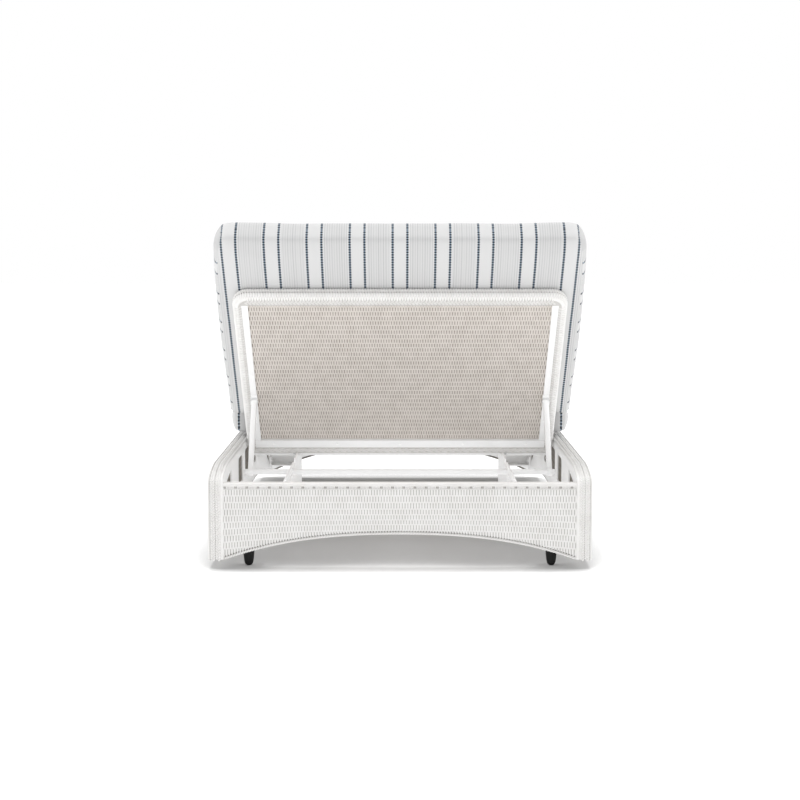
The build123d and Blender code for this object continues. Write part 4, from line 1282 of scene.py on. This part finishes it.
def press_seams(pad, half_width):
    """Draws the cloth in along the seams."""
    at = points_of(pad.data)
    share = np.abs(at[:, 0]) / half_width(at)
    normal = np.empty(at.size)
    pad.data.vertices.foreach_get("normal", normal)
    groove = SEAM_DEEP * np.exp(-(((share - SEAM) * CUSHION_HALF / SEAM_SOFT) ** 2))
    put_points(pad.data, at - normal.reshape(-1, 3) * groove[:, None])


def sewn(pad, origin, along, depth, length, boxing, stripes):
    """Sews the boxing on a stuffed cushion and lays its cloth map."""
    at = points_of(pad.data)
    run = (at - origin) @ along
    spots = np.linspace(run.min(), run.max(), WIDTH_SPOTS)
    wide = width_along(at, run, spots)

    def half_width(points):
        return np.interp((points - origin) @ along, spots, wide)

    cut_seams(pad, half_width)
    applied(pad, "SUBSURF", levels=1, render_levels=1)
    at = points_of(pad.data)
    run = (at - origin) @ along
    deep = (at - origin) @ depth
    press_seams(pad, half_width)

    mesh = pad.data
    past = np.where(deep > CUSHION_THICK / 2, 2 * length - run + deep, run + deep)
    middle = np.empty(len(mesh.polygons) * 3)
    mesh.polygons.foreach_get("center", middle)
    middle = middle.reshape(-1, 3)
    sizes = np.empty(len(mesh.polygons), int)
    mesh.polygons.foreach_get("loop_total", sizes)
    boxed = np.repeat(np.abs(middle[:, 0]) / half_width(middle) > SEAM, sizes)
    corner = corners_of(mesh)
    box_start, box_end = boxing
    at = points_of(mesh)
    across = np.where(boxed, np.minimum(run[corner], box_end) - box_start, at[corner, 0] * stripes)
    down = np.where(boxed, deep[corner], past[corner])
    cloth = mesh.uv_layers.new(name="cloth")
    cloth.data.foreach_set("uv", np.stack([across, down], axis=1).ravel())
    return smooth(pad, ALL_ROUND)


def seat_pad():
    pad = stuffed("seat_cushion", "seat_pad", np.stack([X, Y, Z]), 0.0)
    at = points_of(pad.data)
    near_head = np.clip((SEAT_START + SEAT_HEAD_RUN - at[:, 1]) / SEAT_HEAD_RUN, 0, 1)
    at[:, 0] *= 1 + SEAT_HEAD_WIDER * near_head
    at[:, 2] = np.maximum(at[:, 2], RAIL_TOP + SEAT_CLEAR)
    put_points(pad.data, at)
    origin = np.array((0, SEAT_START, RAIL_TOP))
    return sewn(pad, origin, Y, Z, SENEAR - SEAT_START, SEAT_BOXING, SEAT_STRIPES)


def back_pad():
    pad = stuffed("back_cushion", "back_pad", np.stack([X, BACK_UP, BACK_OUT]), BACK_LONGER)
    up = (points_of(pad.data) - HINGE) @ BACK_UP
    end = pad.vertex_groups.new(name="end")
    for k, share in enumerate(np.clip((up - BACK_TOP - BACK_END_FROM) / BACK_END_RUN, 0, 1)):
        end.add([k], share, "REPLACE")
    applied(pad, "SMOOTH", factor=0.5, iterations=BACK_END_ROUNDS, vertex_group="end")
    pad.vertex_groups.clear()

    at = points_of(pad.data)
    out = (at - HINGE) @ BACK_OUT
    up = (at - HINGE) @ BACK_UP
    near_top = np.clip((up - CUSHION_TOP + CORNER_FROM) / CORNER_RUN, 0, 1)
    near_top *= np.clip((BACK_FRONT - out) / CORNER_DEEP, CORNER_LEAST, 1)
    near_low = np.clip(1 - up / LOW_RUN, 0, 1)
    at[:, 0] *= 1 - CORNER_IN * near_top + LOW_WIDER * near_low
    over = np.where(up < BACK_TOP + LEAN_OVER, np.maximum(out - BACK_FRONT, 0), 0)
    put_points(pad.data, at - np.outer(over, BACK_OUT))
    origin = HINGE + BACK_OUT * BACK_FRONT
    return sewn(pad, origin, BACK_UP, -BACK_OUT, CUSHION_TOP, BACK_BOXING, 1.0)


for pad, body, node in (
    (seat_pad(), "base", "seat_cushion"),
    (back_pad(), "back_cushion", "back_cushion"),
):
    dressed(pad, body, "striped_cloth", TICKING, node)

# Floor: lights the object evenly, and shows the camera a white ground with a painted shadow under
# the object, darker where more of the sky above is hidden
FLOOR_SIZE = 60
SHADE_REACH = 0.8
SHADE_STEP = (0.45, 0.78)
SHADE_RAYS = 24


def floor_finish():
    ground = Finish("floor_white")
    seen = ground.seen()
    above = ground.node(
        "ShaderNodeAmbientOcclusion", {"samples": SHADE_RAYS}, {"Distance": SHADE_REACH}, 1
    )
    open_above = above.step(*SHADE_STEP)
    # Painted shadow: the ground's colour darkens with how much of the sky above it is hidden
    shown = ground.mix(open_above, grey(0.55), grey(1.0))
    glow = ground.mix(open_above, grey(0.0), grey(0.05))
    ground.set(Base_Color=ground.mix(seen, grey(0.40), shown))
    ground.set(Emission_Color=ground.mix(seen, grey(0.78), glow), Emission_Strength=1.0)
    ground.set(Roughness=0.9, Specular_IOR_Level=0.0)
    return ground.material


bpy.ops.object.select_all(action="DESELECT")
bpy.ops.mesh.primitive_plane_add(size=FLOOR_SIZE)
floor = bpy.context.object
floor.name = "floor"
floor.data.materials.append(floor_finish())

# Studio: white behind the object, and plain soft light on it
SKY_LIGHT = 0.58

world = bpy.data.worlds.new("studio")
world.use_nodes = True
bpy.context.scene.world = world
sky = Nodes(world.node_tree)
light = sky.tree.nodes["Background"]
sky.put(light, "Color", WHITE)
sky.put(light, "Strength", SKY_LIGHT)
plain = sky.node("ShaderNodeBackground", sockets={"Color": WHITE, "Strength": 1.0})
lit = Value(sky, light.outputs[0])
blend = sky.node("ShaderNodeMixShader", sockets={0: sky.seen(), 1: lit, 2: plain})
sky.put(sky.tree.nodes["World Output"], "Surface", blend)


def lamp(name, place, aim, size, power):
    """A round lamp that points at its aim."""
    light = bpy.data.lights.new(name, "AREA")
    light.shape = "DISK"
    light.size = size
    light.energy = power
    holder = linked(name, light)
    holder.location = place
    holder.rotation_euler = (Vector(aim) - Vector(place)).to_track_quat("-Z", "Y").to_euler()


lamp("front", (0, -6.4, 0.8), (0, -0.4, 0.45), size=2.4, power=80)
lamp("fill_left", (-4.5, -0.5, 3), (0, 0, 0.4), size=2.4, power=75)
lamp("fill_right", (4.5, -0.5, 3), (0, 0, 0.4), size=2.4, power=75)

sun = bpy.data.lights.new("ceiling", "SUN")
sun.energy = 1.75
sun.angle = radians(18)
linked("ceiling", sun).rotation_euler = (radians(-11), 0, 0)

# Camera
view = bpy.data.cameras.new("camera")
view.lens = 73.3
view.sensor_width = 36
camera = linked("camera", view)
camera.location = (0, -5.98, 1.03)
camera.rotation_euler = (pi / 2 - radians(5.71), 0, 0)
bpy.context.scene.camera = camera
bpy.context.scene.view_settings.view_transform = "Standard"
